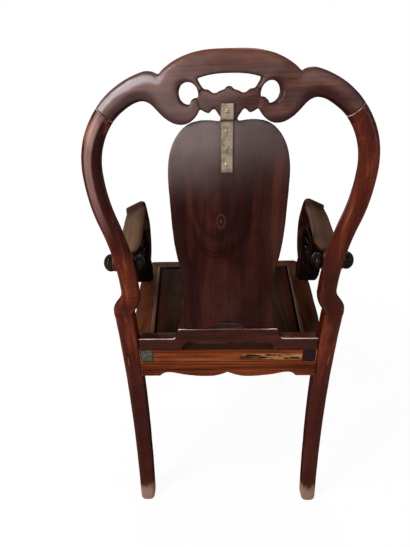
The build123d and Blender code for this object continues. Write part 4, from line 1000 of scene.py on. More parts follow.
@dataclass
class Carved:
    """A hand-worked copy of a CAD node: its edges eased, its faces very slightly uneven."""

    node: str
    voxel: float = 2.0 * MM
    radius: float = 3.0 * MM
    uneven: float = 0.2 * MM
    smooth: int = 2
    broad: float = 6.0 * MM
    shortest: float = 0.3 * MM
    flat: float = 0.55
    waves: Zone = (45.0, 130.0)
    radius_at: Callable[[Vector, Vector, Vector], float] | None = None
    reshape: Callable[[Vector, Vector], Vector] | None = None
    warp: Callable[[Vector], Vector] | None = None

    def source(self) -> bmesh.types.BMesh:
        """Merges a copy of the node's mesh and warps it where the piece asks for it.

        Returns:
            The copy.
        """
        bm = bmesh.new()
        bm.from_mesh(bpy.data.objects[self.node].data)
        bmesh.ops.remove_doubles(bm, verts=bm.verts, dist=0.01 * MM)
        for vert in bm.verts:
            vert.co = self.warp(vert.co) if self.warp else vert.co
        bm.normal_update()
        return bm

    def edge_samples(self, bm: bmesh.types.BMesh) -> list[EdgePoint]:
        """Points along the sharp outer edges; edges whose radius is 0 stay as they are.

        Args:
            bm: the merged copy.

        Returns:
            The points.
        """
        samples = []
        for edge in bm.edges:
            if len(edge.link_faces) != 2 or not edge.is_convex or edge.calc_length() < self.shortest:
                continue
            first, second = edge.link_faces
            if first.normal.dot(second.normal) > self.flat:
                continue
            start, end = edge.verts[0].co, edge.verts[1].co
            count = max(1, int((end - start).length / (self.voxel * 0.7)))
            for index in range(count):
                place = start.lerp(end, (index + 0.5) / count)
                radius = self.radius_at(place, first.normal, second.normal) if self.radius_at else self.radius
                if radius > 0:
                    samples.append(EdgePoint(place, first.normal.copy(), second.normal.copy(), radius))
        return samples

    def remeshed(self, piece: bpy.types.Object) -> bmesh.types.BMesh:
        """Rebuilds the piece's mesh from even small squares.

        Args:
            piece: the object with the merged copy.

        Returns:
            The new mesh.
        """
        remesh = piece.modifiers.new("remesh", "REMESH")
        remesh.mode = "VOXEL"
        remesh.voxel_size = self.voxel
        bpy.context.view_layer.update()
        done = bpy.data.meshes.new_from_object(piece.evaluated_get(bpy.context.evaluated_depsgraph_get()))
        piece.modifiers.clear()
        bm = bmesh.new()
        bm.from_mesh(done)
        bpy.data.meshes.remove(done)
        return bm

    def build(self, name: str) -> bpy.types.Object:
        """Makes the piece.

        Args:
            name: the object's name.

        Returns:
            The object, with its wear stored.
        """
        source = self.source()
        samples = self.edge_samples(source)
        edges = EdgeSearch(samples)
        searches = (EdgeSearch([point for point in samples if point.radius > self.broad]),
                    EdgeSearch([point for point in samples if point.radius <= self.broad]))
        surface = BVHTree.FromBMesh(source)
        piece = new_object(name, source)
        bm = self.remeshed(piece)
        for vert in bm.verts:
            place = surface.find_nearest(vert.co, self.voxel * 1.6)[0]
            if place is not None:
                vert.co = place
            for search in searches:
                nearest = search.nearest(vert.co)
                vert.co = nearest.ease(vert.co) if nearest else vert.co
            if self.reshape:
                vert.co = self.reshape(vert.co, edges.nearest(vert.co).place)
        for _ in range(self.smooth):
            bmesh.ops.smooth_vert(bm, verts=bm.verts, factor=0.5, use_axis_x=True, use_axis_y=True, use_axis_z=True)
        bm.normal_update()
        for vert in bm.verts:
            wave = noise.noise(vert.co * self.waves[0]) + 0.5 * noise.noise(vert.co * self.waves[1])
            vert.co += vert.normal * (wave * self.uneven)
        bm.to_mesh(piece.data)
        bm.free()
        piece.data.polygons.foreach_set("use_smooth", [True] * len(piece.data.polygons))
        mark_standout(piece.data)
        return piece


@dataclass
class Ring:
    """One cross-section of a lofted timber."""

    centre: Vector
    across: Vector
    through: Vector
    half_width: float
    half_depth: float
    square: float = 2.0

    def add(self, bm: bmesh.types.BMesh, segments: int) -> list[bmesh.types.BMEdge]:
        """Adds the section to a bmesh as a closed ring.

        Args:
            bm: the bmesh.
            segments: vertices round the ring.

        Returns:
            The ring's edges.
        """
        made = bmesh.ops.create_circle(bm, cap_ends=False, radius=1.0, segments=segments)["verts"]
        for vert in made:
            x, y = vert.co.x, vert.co.y
            reach = (abs(x) ** self.square + abs(y) ** self.square) ** (-1.0 / self.square)
            vert.co = self.centre + self.across * (x * reach * self.half_width)
            vert.co += self.through * (y * reach * self.half_depth)
        return list({edge for vert in made for edge in vert.link_edges})


def loft(rings: Sequence[Ring], segments: int = 32, closed: bool = False) -> bmesh.types.BMesh:
    """Joins cross-sections into a closed timber.

    Args:
        rings: the sections in order.
        segments: vertices round each section.
        closed: whether the last section joins the first.

    Returns:
        The bmesh.
    """
    bm = bmesh.new()
    loops = [ring.add(bm, segments) for ring in rings]
    for first, second in zip(loops, loops[1:] + loops[:1] if closed else loops[1:]):
        bmesh.ops.bridge_loops(bm, edges=first + second)
    if not closed:
        for loop in (loops[0], loops[-1]):
            cap = bmesh.ops.contextual_create(bm, geom=loop)["faces"]
            bmesh.ops.inset_region(bm, faces=cap, thickness=1.5 * MM, depth=0.0)
    bmesh.ops.recalc_face_normals(bm, faces=bm.faces)
    return bm


def turned(profile: Sequence[tuple[float, float]], segments: int = 40) -> bmesh.types.BMesh:
    """Turns a profile about the X axis.

    Args:
        profile: (distance along X, radius) points from one pole to the other.
        segments: steps of the turn.

    Returns:
        The closed bmesh.
    """
    bm = bmesh.new()
    verts = [bm.verts.new((along, radius, 0.0)) for along, radius in profile]
    edges = [bm.edges.new(pair) for pair in zip(verts, verts[1:])]
    bmesh.ops.spin(bm, geom=verts + edges, cent=(0, 0, 0), axis=(1, 0, 0), dvec=(0, 0, 0), angle=math.tau,
                   steps=segments, use_merge=True)
    bmesh.ops.remove_doubles(bm, verts=bm.verts, dist=0.005 * MM)
    bmesh.ops.recalc_face_normals(bm, faces=bm.faces)
    return bm


def mirrored(piece: bpy.types.Object, name: str) -> bpy.types.Object:
    """Copy of a piece on the other side of the chair's middle plane.

    Args:
        piece: the left piece.
        name: the copy's name.

    Returns:
        The right piece.
    """
    bm = bmesh.new()
    bm.from_mesh(piece.data)
    bmesh.ops.scale(bm, vec=(-1, 1, 1), verts=bm.verts)
    bmesh.ops.recalc_face_normals(bm, faces=bm.faces)
    return new_object(name, bm)


def spline(points: Sequence[Sequence[float]], steps: int) -> list[list[float]]:
    """Smooth values through rows of numbers.

    Args:
        points: the rows; the first number of each is where along the piece it applies.
        steps: how many rows to return.

    Returns:
        Evenly spaced rows between the first and the last.
    """
    rows = []
    low, high = points[0][0], points[-1][0]
    for step in range(steps + 1):
        at = low + (high - low) * step / steps
        index = max(i for i in range(len(points) - 1) if points[i][0] <= at + 1e-9)
        p1, p2 = points[index], points[index + 1]
        p0 = points[max(index - 1, 0)]
        p3 = points[min(index + 2, len(points) - 1)]
        span = p2[0] - p1[0]
        t = (at - p1[0]) / span
        row = [at]
        for k in range(1, len(p1)):
            m1 = (p2[k] - p0[k]) / (p2[0] - p0[0]) * span
            m2 = (p3[k] - p1[k]) / (p3[0] - p1[0]) * span
            h00 = 2 * t**3 - 3 * t**2 + 1
            h10 = t**3 - 2 * t**2 + t
            h01 = -2 * t**3 + 3 * t**2
            h11 = t**3 - t**2
            row.append(h00 * p1[k] + h10 * m1 + h01 * p2[k] + h11 * m2)
        rows.append(row)
    return rows


# ---------------------------------------------------------------- rear legs and hoop
@dataclass
class RearLegs:
    """Two legs that bend up into the hoop's posts."""

    spread: float = 204.5 * MM
    bow: float = 24.0 * MM
    bow_height: float = 270.0 * MM
    knee_height: float = 566.0 * MM
    setback: float = 3.0 * MM
    hoop_half: float = 221.0 * MM
    waist_half: float = 187.0 * MM
    widest: float = 830.0 * MM
    top_radius: float = 136.0 * MM
    side_radius: float = 300.0 * MM
    waist_radius: float = 480.0 * MM
    post_low: float = 17.5 * MM
    post_high: float = 15.25 * MM
    post_depth: float = 16.0 * MM
    post_square: float = 2.12
    seam_ring: float = 0.5 * MM
    uneven: float = 0.35 * MM
    waves: Zone = (22.0, 70.0)
    leg_sections: tuple[tuple[float, ...], ...] = (
        (0.0, 14.8, 14.6, 3.6), (3.0, 16.4, 16.2, 4.2), (9.0, 17.2, 17.1, 5.5), (60.0, 17.4, 17.4, 7.0),
        (270.0, 18.0, 18.0, 7.5), (430.0, 18.0, 18.0, 8.0), (520.0, 18.0, 18.0, 7.0), (548.0, 18.2, 18.0, 5.5),
    )
    knee_sections: tuple[tuple[float, ...], ...] = (
        (554.0, 205.6, 18.4, 17.9, 5.0), (560.0, 204.0, 20.0, 17.8, 4.4), (566.0, 201.6, 22.2, 17.6, 3.8),
        (572.0, 199.2, 23.4, 17.3, 3.3), (579.0, 195.6, 22.6, 17.0, 2.9), (587.0, 191.2, 20.4, 16.7, 2.7),
        (596.0, 187.8, 18.4, 16.3, 2.6),
    )

    def leg_y(self, height: float) -> float:
        """Y of the leg's middle at a height.

        Args:
            height: distance from the floor.

        Returns:
            The place along Y.
        """
        b = (self.setback + self.bow * self.knee_height / self.bow_height) / (
            self.knee_height * (self.knee_height - self.bow_height))
        a = -self.bow / self.bow_height - b * self.bow_height
        return FEET_Y + a * height + b * height * height

    def leg_rings(self) -> list[Ring]:
        """Sections of the square leg, whose rows hold height, half width, half depth and squareness.

        Returns:
            The rings, from the sole to the knee.
        """
        rings = []
        for height, width, depth, square in spline(self.leg_sections, 90):
            centre = Vector((self.spread, self.leg_y(height * MM), height * MM))
            rings.append(Ring(centre, Vector((1, 0, 0)), Vector((0, 1, 0)), width * MM, depth * MM, square))
        return rings

    def knee_rings(self) -> list[Ring]:
        """Sections where leg and post pass into one another; a row's second number is its place along X.

        Returns:
            The rings, from the leg to the post.
        """
        rings = []
        low, high = self.knee_sections[0][0], self.knee_sections[-1][0]
        for height, x, width, depth, square in spline(self.knee_sections, 14):
            share = (height - low) / (high - low)
            post = on_back(0, height * MM / math.cos(RAKE), 0).y
            y = self.leg_y(height * MM) * (1 - share) + post * share
            lean = RAKE * share
            rings.append(Ring(Vector((x * MM, y, height * MM)), Vector((1, 0, 0)),
                              Vector((0, math.cos(lean), -math.sin(lean))), width * MM, depth * MM, square))
        return rings

    def post_path(self) -> list[tuple[float, float, float]]:
        """Middle line of the post in the plane of the back.

        Returns:
            The points: x, rise and heading.
        """
        swing = math.acos(1 - (self.hoop_half - self.waist_half) / (self.side_radius + self.waist_radius))
        top = self.widest / math.cos(RAKE)
        start = top - (self.side_radius + self.waist_radius) * math.sin(swing)
        path = []
        for step in range(16):
            turn = swing * step / 16
            path.append((self.waist_half + self.waist_radius * (1 - math.cos(turn)),
                         start + self.waist_radius * math.sin(turn), turn))
        for step in range(12):
            turn = swing * (1 - step / 12)
            path.append((self.hoop_half - self.side_radius * (1 - math.cos(turn)),
                         top - self.side_radius * math.sin(turn), turn))
        turns = [SEAM_ANGLE * step / 20 for step in range(20)]
        for turn in turns + [SEAM_ANGLE - self.seam_ring / self.top_radius, SEAM_ANGLE]:
            path.append((self.hoop_half - self.top_radius * (1 - math.cos(turn)),
                         top + self.top_radius * math.sin(turn), -turn))
        return path

    def post_rings(self) -> list[Ring]:
        """Sections of the round post.

        Returns:
            The rings, from above the knee to the crest seam.
        """
        rings = []
        path = self.post_path()
        through = Vector((0, math.cos(RAKE), -math.sin(RAKE)))
        for index, (x, rise, heading) in enumerate(path):
            share = index / (len(path) - 1)
            turn = math.sin(heading)
            across = Vector((math.cos(heading), -turn * math.sin(RAKE), -turn * math.cos(RAKE)))
            width = self.post_low + (self.post_high - self.post_low) * share
            rings.append(Ring(on_back(x, rise, 0), across, through, width, self.post_depth, self.post_square))
        return rings

    def build(self, material: bpy.types.Material) -> None:
        """Makes both legs.

        Args:
            material: the wood.
        """
        bm = loft(self.leg_rings() + self.knee_rings() + self.post_rings())
        bm.normal_update()
        for vert in bm.verts:
            wave = noise.noise(vert.co * self.waves[0]) + 0.4 * noise.noise(vert.co * self.waves[1])
            vert.co += vert.normal * (wave * self.uneven)
        left = new_object("leg_and_post_left", bm)
        right = mirrored(left, "leg_and_post_right")
        for piece, node in ((left, "rear_leg_left"), (right, "rear_leg_right")):
            mark_standout(piece.data, 2, 7.0)
            divide = piece.modifiers.new("smooth", "SUBSURF")
            divide.levels = divide.render_levels = 1
            dress(piece, material, "redwood_gloss", node)


# ---------------------------------------------------------------- the carved pieces
@dataclass
class Back:
    """Crest rail, splat and the hump-backed rail below it."""

    edge: float = 4.5 * MM
    rim: float = 10.0 * MM
    lobe_dome: float = 13.0 * MM
    shoulder_dome: float = 20.0 * MM
    seam_dome: float = 15.3 * MM
    wing_edge: float = 2.6 * MM
    crest_thickness: float = 29.0 * MM
    post_thickness: float = 32.0 * MM
    end_out: float = 0.14
    wings: Zone = (0.05, 0.075)
    arch_height: Zone = (0.94, 0.965)
    arch_end: Zone = (0.115, 0.1)
    lobe_start: Zone = (0.05, 0.08)
    lobe_end: Zone = (0.09, 0.12)
    shoulder: Zone = (0.08, 0.12)
    seam_run: Zone = (0.14, 0.17)
    swell: Zone = (0.12, 0.17)

    def level(self, place: Vector) -> float:
        """How far a place lies in front of the back's middle plane."""
        return (BACK_FOOT_Y + place.z * math.tan(RAKE) - place.y) * math.cos(RAKE)

    def crest_radius(self, place: Vector, first: Vector, second: Vector) -> float:
        """Rounding of the crest's edges: broad along the top, small on the bat, none at the seams.

        Args:
            place: a point on the edge.
            first: direction of one of its faces.
            second: direction of the other.

        Returns:
            The radius.
        """
        out = abs(place.x)
        turn = math.cos(SEAM_ANGLE)
        seam = Vector((-math.copysign(math.sin(SEAM_ANGLE), place.x), turn * math.sin(RAKE), turn * math.cos(RAKE)))
        inside = abs(self.level(place)) < self.crest_thickness / 2 - 1.5 * MM
        if out > self.end_out and (inside or max(abs(first.dot(seam)), abs(second.dot(seam))) > 0.95):
            return 0.0
        base = self.wing_edge + (self.edge - self.wing_edge) * soft(out, *self.wings)
        top = soft(max(first.z, second.z), 0.3, 0.8) * soft(place.z, *self.arch_height)
        return base + (self.rim - base) * top * soft(out, *self.arch_end)

    def crest_reshape(self, place: Vector, edge: Vector) -> Vector:
        """Domes the faces of lobes and shoulders and thickens the ends to the posts' round section.

        Args:
            place: a vertex.
            edge: the nearest point of the outline.

        Returns:
            The new place.
        """
        forward = Vector((0, -math.cos(RAKE), math.sin(RAKE)))
        level = self.level(place)
        off = place - edge
        inward = (off - forward * off.dot(forward)).length
        out = abs(place.x)
        width = self.lobe_dome + (self.shoulder_dome - self.lobe_dome) * soft(out, *self.shoulder)
        width += (self.seam_dome - width) * soft(out, *self.seam_run)
        wall = 1.0 - 0.45 * soft(out, *self.lobe_start) - 0.4 * soft(out, *self.lobe_end)
        share = min(1.0, inward / width)
        dome = wall + (1.0 - wall) * math.sqrt(share * (2.0 - share))
        grow = (self.post_thickness / self.crest_thickness - 1.0) * soft(out, *self.swell)
        return place + forward * (level * ((1.0 + grow) * dome - 1.0))

    def build(self, crest: WoodFinish, panel: WoodFinish, hump: WoodFinish) -> None:
        """Makes the three pieces.

        Args:
            crest: wood of the crest rail.
            panel: wood of the splat.
            hump: wood of the hump-backed rail.
        """
        rail = Carved("crest_rail", 1.3 * MM, uneven=0.12 * MM, smooth=9, radius_at=self.crest_radius,
                      reshape=self.crest_reshape)
        dress(rail.build("carved_crest"), crest.material(), "purple_brown_wood", "crest_rail")
        splat = Carved("back_splat", 2.0 * MM, 2.6 * MM, 0.2 * MM)
        dress(splat.build("shaped_splat"), panel.material(), "dark_panel_wood", "back_splat")
        foot = Carved("lower_back_rail", 1.8 * MM, 4.5 * MM, 0.2 * MM)
        dress(foot.build("hump_rail"), hump.material(), "redwood_gloss", "lower_back_rail")


@dataclass
class Arms:
    """Both arms, with their rolled ends, bosses and scroll brackets."""

    inner_round: float = 12.5 * MM
    inner_cut: float = 10.7 * MM
    edge: float = 3.5 * MM
    leans: Zone = (-0.8, 0.3)
    facing_up: Zone = (0.1, 0.6)
    facing_in: Zone = (0.45, 0.8)
    boss_radius: float = 17.2 * MM
    boss_length: float = 24.5 * MM
    sunk: float = 7.0 * MM
    curl_y: float = -35.2 * MM
    inner_edge: float = 191.0 * MM
    draw_above: float = 0.68
    mid_height: float = 707.0 * MM
    jog_top: float = 3.76 * MM
    jog_under: float = 8.27 * MM
    draw_length: float = 75.0 * MM
    tilt: float = math.radians(25.0)
    neck_radius: float = 11.5 * MM
    neck_length: float = 1.8 * MM
    neck_turn: float = math.radians(44.0)

    def arm_radius(self, place: Vector, first: Vector, second: Vector) -> float:
        """Rounding of the arm's edges: broad where the top meets the inner side.

        Args:
            place: a point on the edge.
            first: direction of one of its faces.
            second: direction of the other.

        Returns:
            The radius.
        """
        up = max(first.z, second.z)
        side = -min(first.x, second.x) if place.x > 0 else max(first.x, second.x)
        lean = min(self.leans[1], max(self.leans[0], first.dot(second)))
        broad = min(self.inner_round, self.inner_cut / (1.0 / math.sqrt((1.0 + lean) / 2) - 1.0))
        return self.edge + (broad - self.edge) * soft(up, *self.facing_up) * soft(side, *self.facing_in)

    def draw_in(self, place: Vector) -> Vector:
        """Draws the inner edge in behind the curl, so that it meets the curl's edge without a jog.

        Args:
            place: a vertex of the CAD shape.

        Returns:
            The new place.
        """
        if place.y < self.curl_y or place.z < self.draw_above or abs(place.x) > self.inner_edge:
            return place
        jog = self.jog_top if place.z > self.mid_height else self.jog_under
        move = jog * soft(place.y, self.curl_y + self.draw_length, self.curl_y)
        return place + Vector((math.copysign(move, place.x), 0, -move * math.tan(self.tilt)))

    def boss(self, name: str, finish: bpy.types.Material) -> None:
        """Turns one boss: a short neck and a slightly flattened ball.

        Args:
            name: the boss's node.
            finish: its material.
        """
        low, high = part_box(name)
        radius, length = self.boss_radius, self.boss_length
        ball = (length - self.neck_length) / (1.0 + math.cos(self.neck_turn))
        profile = [(0.0, 0.0), (0.0, self.neck_radius), (self.neck_length * 0.6, self.neck_radius)]
        for step in range(17):
            turn = self.neck_turn + (math.pi - self.neck_turn) * step / 17
            profile.append((length - ball * (1.0 + math.cos(turn)), radius * math.sin(turn)))
        profile.append((length, 0.0))
        bm = turned(profile)
        outward = 1.0 if name.endswith("left_outer") or name.endswith("right_inner") else -1.0
        start = (low[0] if outward > 0 else high[0]) - outward * self.sunk
        bmesh.ops.scale(bm, vec=(outward, 1, 1), verts=bm.verts)
        bmesh.ops.translate(bm, vec=(start, (low[1] + high[1]) / 2, (low[2] + high[2]) / 2), verts=bm.verts)
        bmesh.ops.recalc_face_normals(bm, faces=bm.faces)
        piece = new_object(name.replace("arm_boss", "turned_boss"), bm)
        mark_standout(piece.data, 1, 2.0)
        divide = piece.modifiers.new("smooth", "SUBSURF")
        divide.levels = divide.render_levels = 1
        dress(piece, finish, "black_red_wood", name)

    def build(self, arm: WoodFinish, scroll: WoodFinish, boss: WoodFinish) -> None:
        """Makes the arms.

        Args:
            arm: wood of the arms.
            scroll: wood of the scrolls.
            boss: wood of the bosses.
        """
        arm_material, scroll_material, boss_material = arm.material(), scroll.material(), boss.material()
        for side in ("left", "right"):
            band = Carved("arm_" + side, 1.9 * MM, smooth=3, radius_at=self.arm_radius, warp=self.draw_in)
            dress(band.build("curled_arm_" + side), arm_material, "arm_wood", "arm_" + side)
            bracket = Carved("arm_scroll_" + side, 1.5 * MM, 3.4 * MM, smooth=3)
            dress(bracket.build("carved_scroll_" + side), scroll_material, "black_red_wood", "arm_scroll_" + side)
            for end in ("outer", "inner"):
                self.boss(f"arm_boss_{side}_{end}", boss_material)


@dataclass
class Seat:
    """Seat frame, its bead round the panel, aprons and front legs."""

    bead_half: float = 4.2 * MM
    bead_height: float = 2.4 * MM
    bead_outset: float = 4.4 * MM
    bead_uneven: tuple[float, float, float] = (0.4 * MM, 0.3 * MM, 0.2 * MM)
    pieces: tuple[tuple[str, str, float, str], ...] = (
        ("rear_seat_rail", "rail", 2.2, "orange_brown_wood"), ("rear_apron", "rail", 2.2, "orange_brown_wood"),
        ("front_apron", "rail", 2.2, "orange_brown_wood"), ("side_apron_left", "rail", 2.2, "orange_brown_wood"),
        ("side_apron_right", "rail", 2.2, "orange_brown_wood"), ("seat_rail_left", "side", 3.0, "taupe_wood"),
        ("seat_rail_right", "side", 3.0, "taupe_wood"), ("front_seat_rail", "side", 3.0, "taupe_wood"),
        ("front_leg_left", "leg", 5.0, "redwood_gloss"), ("front_leg_right", "leg", 5.0, "redwood_gloss"),
    )

    def bead(self, finish: bpy.types.Material) -> None:
        """Half-round bead that stands on the frame round the panel.

        Args:
            finish: its material.
        """
        rear, front = PANEL_REAR_Y + self.bead_outset * 0.4, PANEL_FRONT_Y - self.bead_outset
        corners = [Vector((PANEL_REAR_HALF + self.bead_outset, rear, SEAT_HEIGHT)),
                   Vector((PANEL_FRONT_HALF + self.bead_outset, front, SEAT_HEIGHT))]
        corners += [Vector((-corner.x, corner.y, corner.z)) for corner in reversed(corners)]
        rings = []
        for index, corner in enumerate(corners):
            before = (corner - corners[index - 1]).normalized()
            after = (corners[(index + 1) % 4] - corner).normalized()
            mitre = (before - after).normalized()
            widen = 1.0 / max(0.3, abs(mitre.cross(after).z))
            rings.append(Ring(corner, mitre, Vector((0, 0, 1)), self.bead_half * widen, self.bead_height, 2.2))
        bm = loft(rings, 20, closed=True)
        long_edges = [edge for edge in bm.edges if edge.calc_length() > 50 * MM]
        bmesh.ops.subdivide_edges(bm, edges=long_edges, cuts=60, use_grid_fill=True)
        for vert in bm.verts:
            vert.co += Vector(self.bead_uneven) * noise.noise(vert.co * 30.0)
        piece = new_object("panel_bead", bm)
        mark_standout(piece.data, 1, 2.0)
        dress(piece, finish, "taupe_wood")

    def build(self, rail: WoodFinish, side: WoodFinish, bead: WoodFinish, leg: bpy.types.Material) -> None:
        """Makes the frame's pieces.

        Args:
            rail: wood of the rear rail and the aprons.
            side: wood of the side and front rails.
            bead: wood of the bead.
            leg: wood of the front legs.
        """
        materials = {"rail": rail.material(), "side": side.material(), "leg": leg}
        self.bead(bead.material())
        for node, kind, radius, slot in self.pieces:
            worked = Carved(node, 2.0 * MM, radius * MM)
            dress(worked.build("worked_" + node), materials[kind], slot, node)


@dataclass
class Brass:
    """Mending plate over the joint of bat and splat, with its four slotted screws."""

    offset: float = 3.0 * MM
    step_height: float = 909.95 * MM
    rises: tuple[float, ...] = (12.5 * MM, -17.0 * MM, -43.0 * MM, -68.0 * MM)
    bat_level: float = -12.75 * MM
    splat_level: float = -3.75 * MM
    head_radius: float = 3.3 * MM
    head_height: float = 1.3 * MM
    head_root: float = 1.0 * MM
    slot_half: float = 0.45 * MM
    slot_depth: float = 0.75 * MM
    turns: tuple[float, ...] = (1.5, 0.5, 0.9, 0.2)

    def screw(self, index: int) -> bmesh.types.BMesh:
        """Turns one domed head along X and sinks its slot.

        Args:
            index: the screw's number.

        Returns:
            The head.
        """
        rim = self.head_height * 0.35
        profile = [(-self.head_root, 0.0), (-self.head_root, self.head_radius * 0.9), (rim, self.head_radius)]
        for ring in range(12):
            radius = self.head_radius * 0.97 * (1 - ring / 12)
            profile.append((self.head_height - (self.head_height - rim) * (radius / self.head_radius) ** 2.4, radius))
        profile.append((self.head_height, 0.0))
        bm = turned(profile, 48)
        for vert in bm.verts:
            if vert.co.x > rim and abs(vert.co.y) < self.slot_half:
                vert.co.x -= self.slot_depth
        bmesh.ops.transform(bm, matrix=Matrix.Rotation(self.turns[index], 4, "X"), verts=bm.verts)
        return bm

    def build(self, finish: BrassFinish) -> None:
        """Makes the plate and the screws.

        Args:
            finish: the brass.
        """
        material = finish.material()
        plate = Carved("mending_plate", 0.8 * MM, 0.8 * MM, 0.22 * MM, smooth=2)
        dress(plate.build("dented_plate"), material, "brass", "mending_plate")
        heads = bmesh.new()
        out = Vector((0, math.cos(RAKE), -math.sin(RAKE)))
        side = Vector((1, 0, 0))
        basis = Matrix((out, side, out.cross(side))).transposed().to_4x4()
        for index, rise in enumerate(self.rises):
            level = self.bat_level if index == 0 else self.splat_level
            head = self.screw(index)
            place = on_back(self.offset, self.step_height / math.cos(RAKE) + rise, level)
            bmesh.ops.transform(head, matrix=Matrix.Translation(place) @ basis, verts=head.verts)
            mesh = bpy.data.meshes.new("head")
            head.to_mesh(mesh)
            head.free()
            heads.from_mesh(mesh)
            bpy.data.meshes.remove(mesh)
        bmesh.ops.recalc_face_normals(heads, faces=heads.faces)
        piece = new_object("slotted_screws", heads)
        mark_standout(piece.data, 1, 2.0)
        dress(piece, material, "brass", "plate_screws")


# ---------------------------------------------------------------- studio
@dataclass(frozen=True)
class Lamp:
    """One soft rectangular lamp: where it hangs, the point it faces, its size in metres and its watts."""

    name: str
    place: tuple[float, float, float]
    aim: tuple[float, float, float]
    size: tuple[float, float]
    power: float

    def hang(self) -> None:
        """Makes the lamp."""
        data = bpy.data.lights.new(self.name, "AREA")
        data.shape = "RECTANGLE"
        data.size, data.size_y = self.size
        data.energy = self.power
        lamp = bpy.data.objects.new(self.name, data)
        lamp.location = self.place
        lamp.rotation_euler = (Vector(self.aim) - Vector(self.place)).to_track_quat("-Z", "Y").to_euler()
        bpy.context.collection.objects.link(lamp)


@dataclass
class Studio:
    """Pale floor, soft lamps and the camera."""

    eye: tuple[float, float, float] = (21.6 * MM, 656.5 * MM + FEET_Y, 950.0 * MM)
    yaw: float = math.radians(1.89)
    pitch: float = math.radians(25.5)
    roll: float = math.radians(-1.46)
    focus: float = 385.0 / 547.0
    sensor: float = 36.0
    ambient: float = 0.24
    floor_half: float = 8.0
    floor_fade: Zone = (0.6, 1.4)
    floor_glow: float = 0.93
    lamps: tuple[Lamp, ...] = (
        Lamp("key", (1.25, 0.75, 2.3), (0.05, 0.2, 0.8), (0.5, 0.5), 26.0),
        Lamp("behind", (-0.6, 3.2, 1.7), (0.0, 0.1, 0.6), (2.2, 1.6), 18.0),
        Lamp("window", (1.75, 1.75, 1.2), (0.1, 0.2, 0.75), (0.5, 1.5), 46.0),
        Lamp("fill", (-2.4, 1.2, 1.3), (0.0, 0.1, 0.6), (0.3, 1.3), 9.0),
        Lamp("above", (-0.5, -1.5, 3.2), (0.0, 0.0, 0.5), (0.8, 0.8), 30.0),
        Lamp("front", (1.0, -3.2, 1.1), (0.0, 0.0, 0.5), (2.4, 1.6), 75.0),
    )

    def camera(self) -> None:
        """Makes the camera."""
        level = Vector((math.sin(self.yaw), -math.cos(self.yaw), 0)) * math.cos(self.pitch)
        ahead = level + Vector((0, 0, -math.sin(self.pitch)))
        side = ahead.cross(Vector((0, 0, 1))).normalized()
        up = side.cross(ahead)
        right = side * math.cos(self.roll) + up * math.sin(self.roll)
        top = up * math.cos(self.roll) - side * math.sin(self.roll)
        data = bpy.data.cameras.new("camera")
        data.sensor_fit = "VERTICAL"
        data.sensor_width = data.sensor_height = self.sensor
        data.lens = self.focus * self.sensor
        data.clip_start = 0.05
        data.clip_end = 50.0
        camera = bpy.data.objects.new("camera", data)
        basis = Matrix((right, top, -ahead)).transposed().to_4x4()
        camera.matrix_world = Matrix.Translation(Vector(self.eye)) @ basis
        bpy.context.collection.objects.link(camera)
        bpy.context.scene.camera = camera

    def surroundings(self) -> None:
        """White background, with softer light on the chair itself."""
        world = bpy.data.worlds.new("studio")
        shader = Shader(world)
        soft_light = shader.node("ShaderNodeBackground", {}, {"Color": (1.0, 1.0, 1.0), "Strength": self.ambient})
        white = shader.node("ShaderNodeBackground", {}, {"Color": (1.0, 1.0, 1.0), "Strength": 1.0})
        shader.close(shader.node("ShaderNodeMixShader", {}, {0: shader.seen(), 1: soft_light, 2: white}))
        bpy.context.scene.world = world

    def floor(self) -> None:
        """White floor that keeps the chair's shadow and fades into the background."""
        bm = bmesh.new()
        bmesh.ops.create_grid(bm, x_segments=1, y_segments=1, size=self.floor_half)
        bmesh.ops.translate(bm, vec=(0, 0, -0.5 * MM), verts=bm.verts)
        floor = new_object("floor", bm)
        shader = Shader(bpy.data.materials.new("floor_white"))
        x, y, _ = shader.parts(shader.place())
        far = (x * x + y * y).root().step(*self.floor_fade)
        surface = shader.surface(Base_Color=(0.86, 0.86, 0.86), Roughness=0.9)
        glow = shader.node("ShaderNodeEmission", {}, {"Color": (1.0, 1.0, 1.0), "Strength": 1.0})
        share = (self.floor_glow + far * (1.0 - self.floor_glow)) * shader.seen()
        shader.close(shader.node("ShaderNodeMixShader", {}, {0: share, 1: surface, 2: glow}))
        floor.data.materials.append(shader.owner)

    def build(self) -> None:
        """Sets up camera, floor, surroundings and lamps."""
        self.camera()
        self.surroundings()
        self.floor()
        for lamp in self.lamps:
            lamp.hang()
        bpy.context.scene.view_settings.view_transform = "Standard"


# ---------------------------------------------------------------- finishes of this chair
HOOP_WOOD = HoopFinish(
    "hoop_wood", deep=(0.018, 0.0022, 0.001), mid=(0.06, 0.0085, 0.0035), light=(0.15, 0.027, 0.009),
    grain=Grain.ALONG_Z, rough=0.32, polish=0.16, polish_rough=0.13, edge=(0.15, 0.04, 0.016), edge_wear_and_painted_light=0.3, seed=0.3,
)
# The crest's near-black edge colour is painted shade on its rounded edges.
CREST_WOOD = CrestFinish(
    "crest_wood", deep=(0.03, 0.008, 0.007), mid=(0.085, 0.033, 0.026), light=(0.16, 0.072, 0.056),
    grain=Grain.ALONG_X, rough=0.34, polish=0.2, polish_rough=0.2, edge=(0.018, 0.005, 0.004), edge_wear_and_painted_light=0.85,
    stains=0.35, seed=1.1,
)
PANEL_WOOD = PanelFinish(
    "panel_wood", deep=(0.008, 0.0017, 0.0013), mid=(0.026, 0.0055, 0.0038), light=(0.048, 0.0115, 0.0072),
    grain=Grain.ALONG_Z, rough=0.42, polish=0.08, polish_rough=0.3, edge=(0.012, 0.004, 0.003),
    edge_wear_and_painted_light=0.6, stains=0.3, seed=0.0,
)
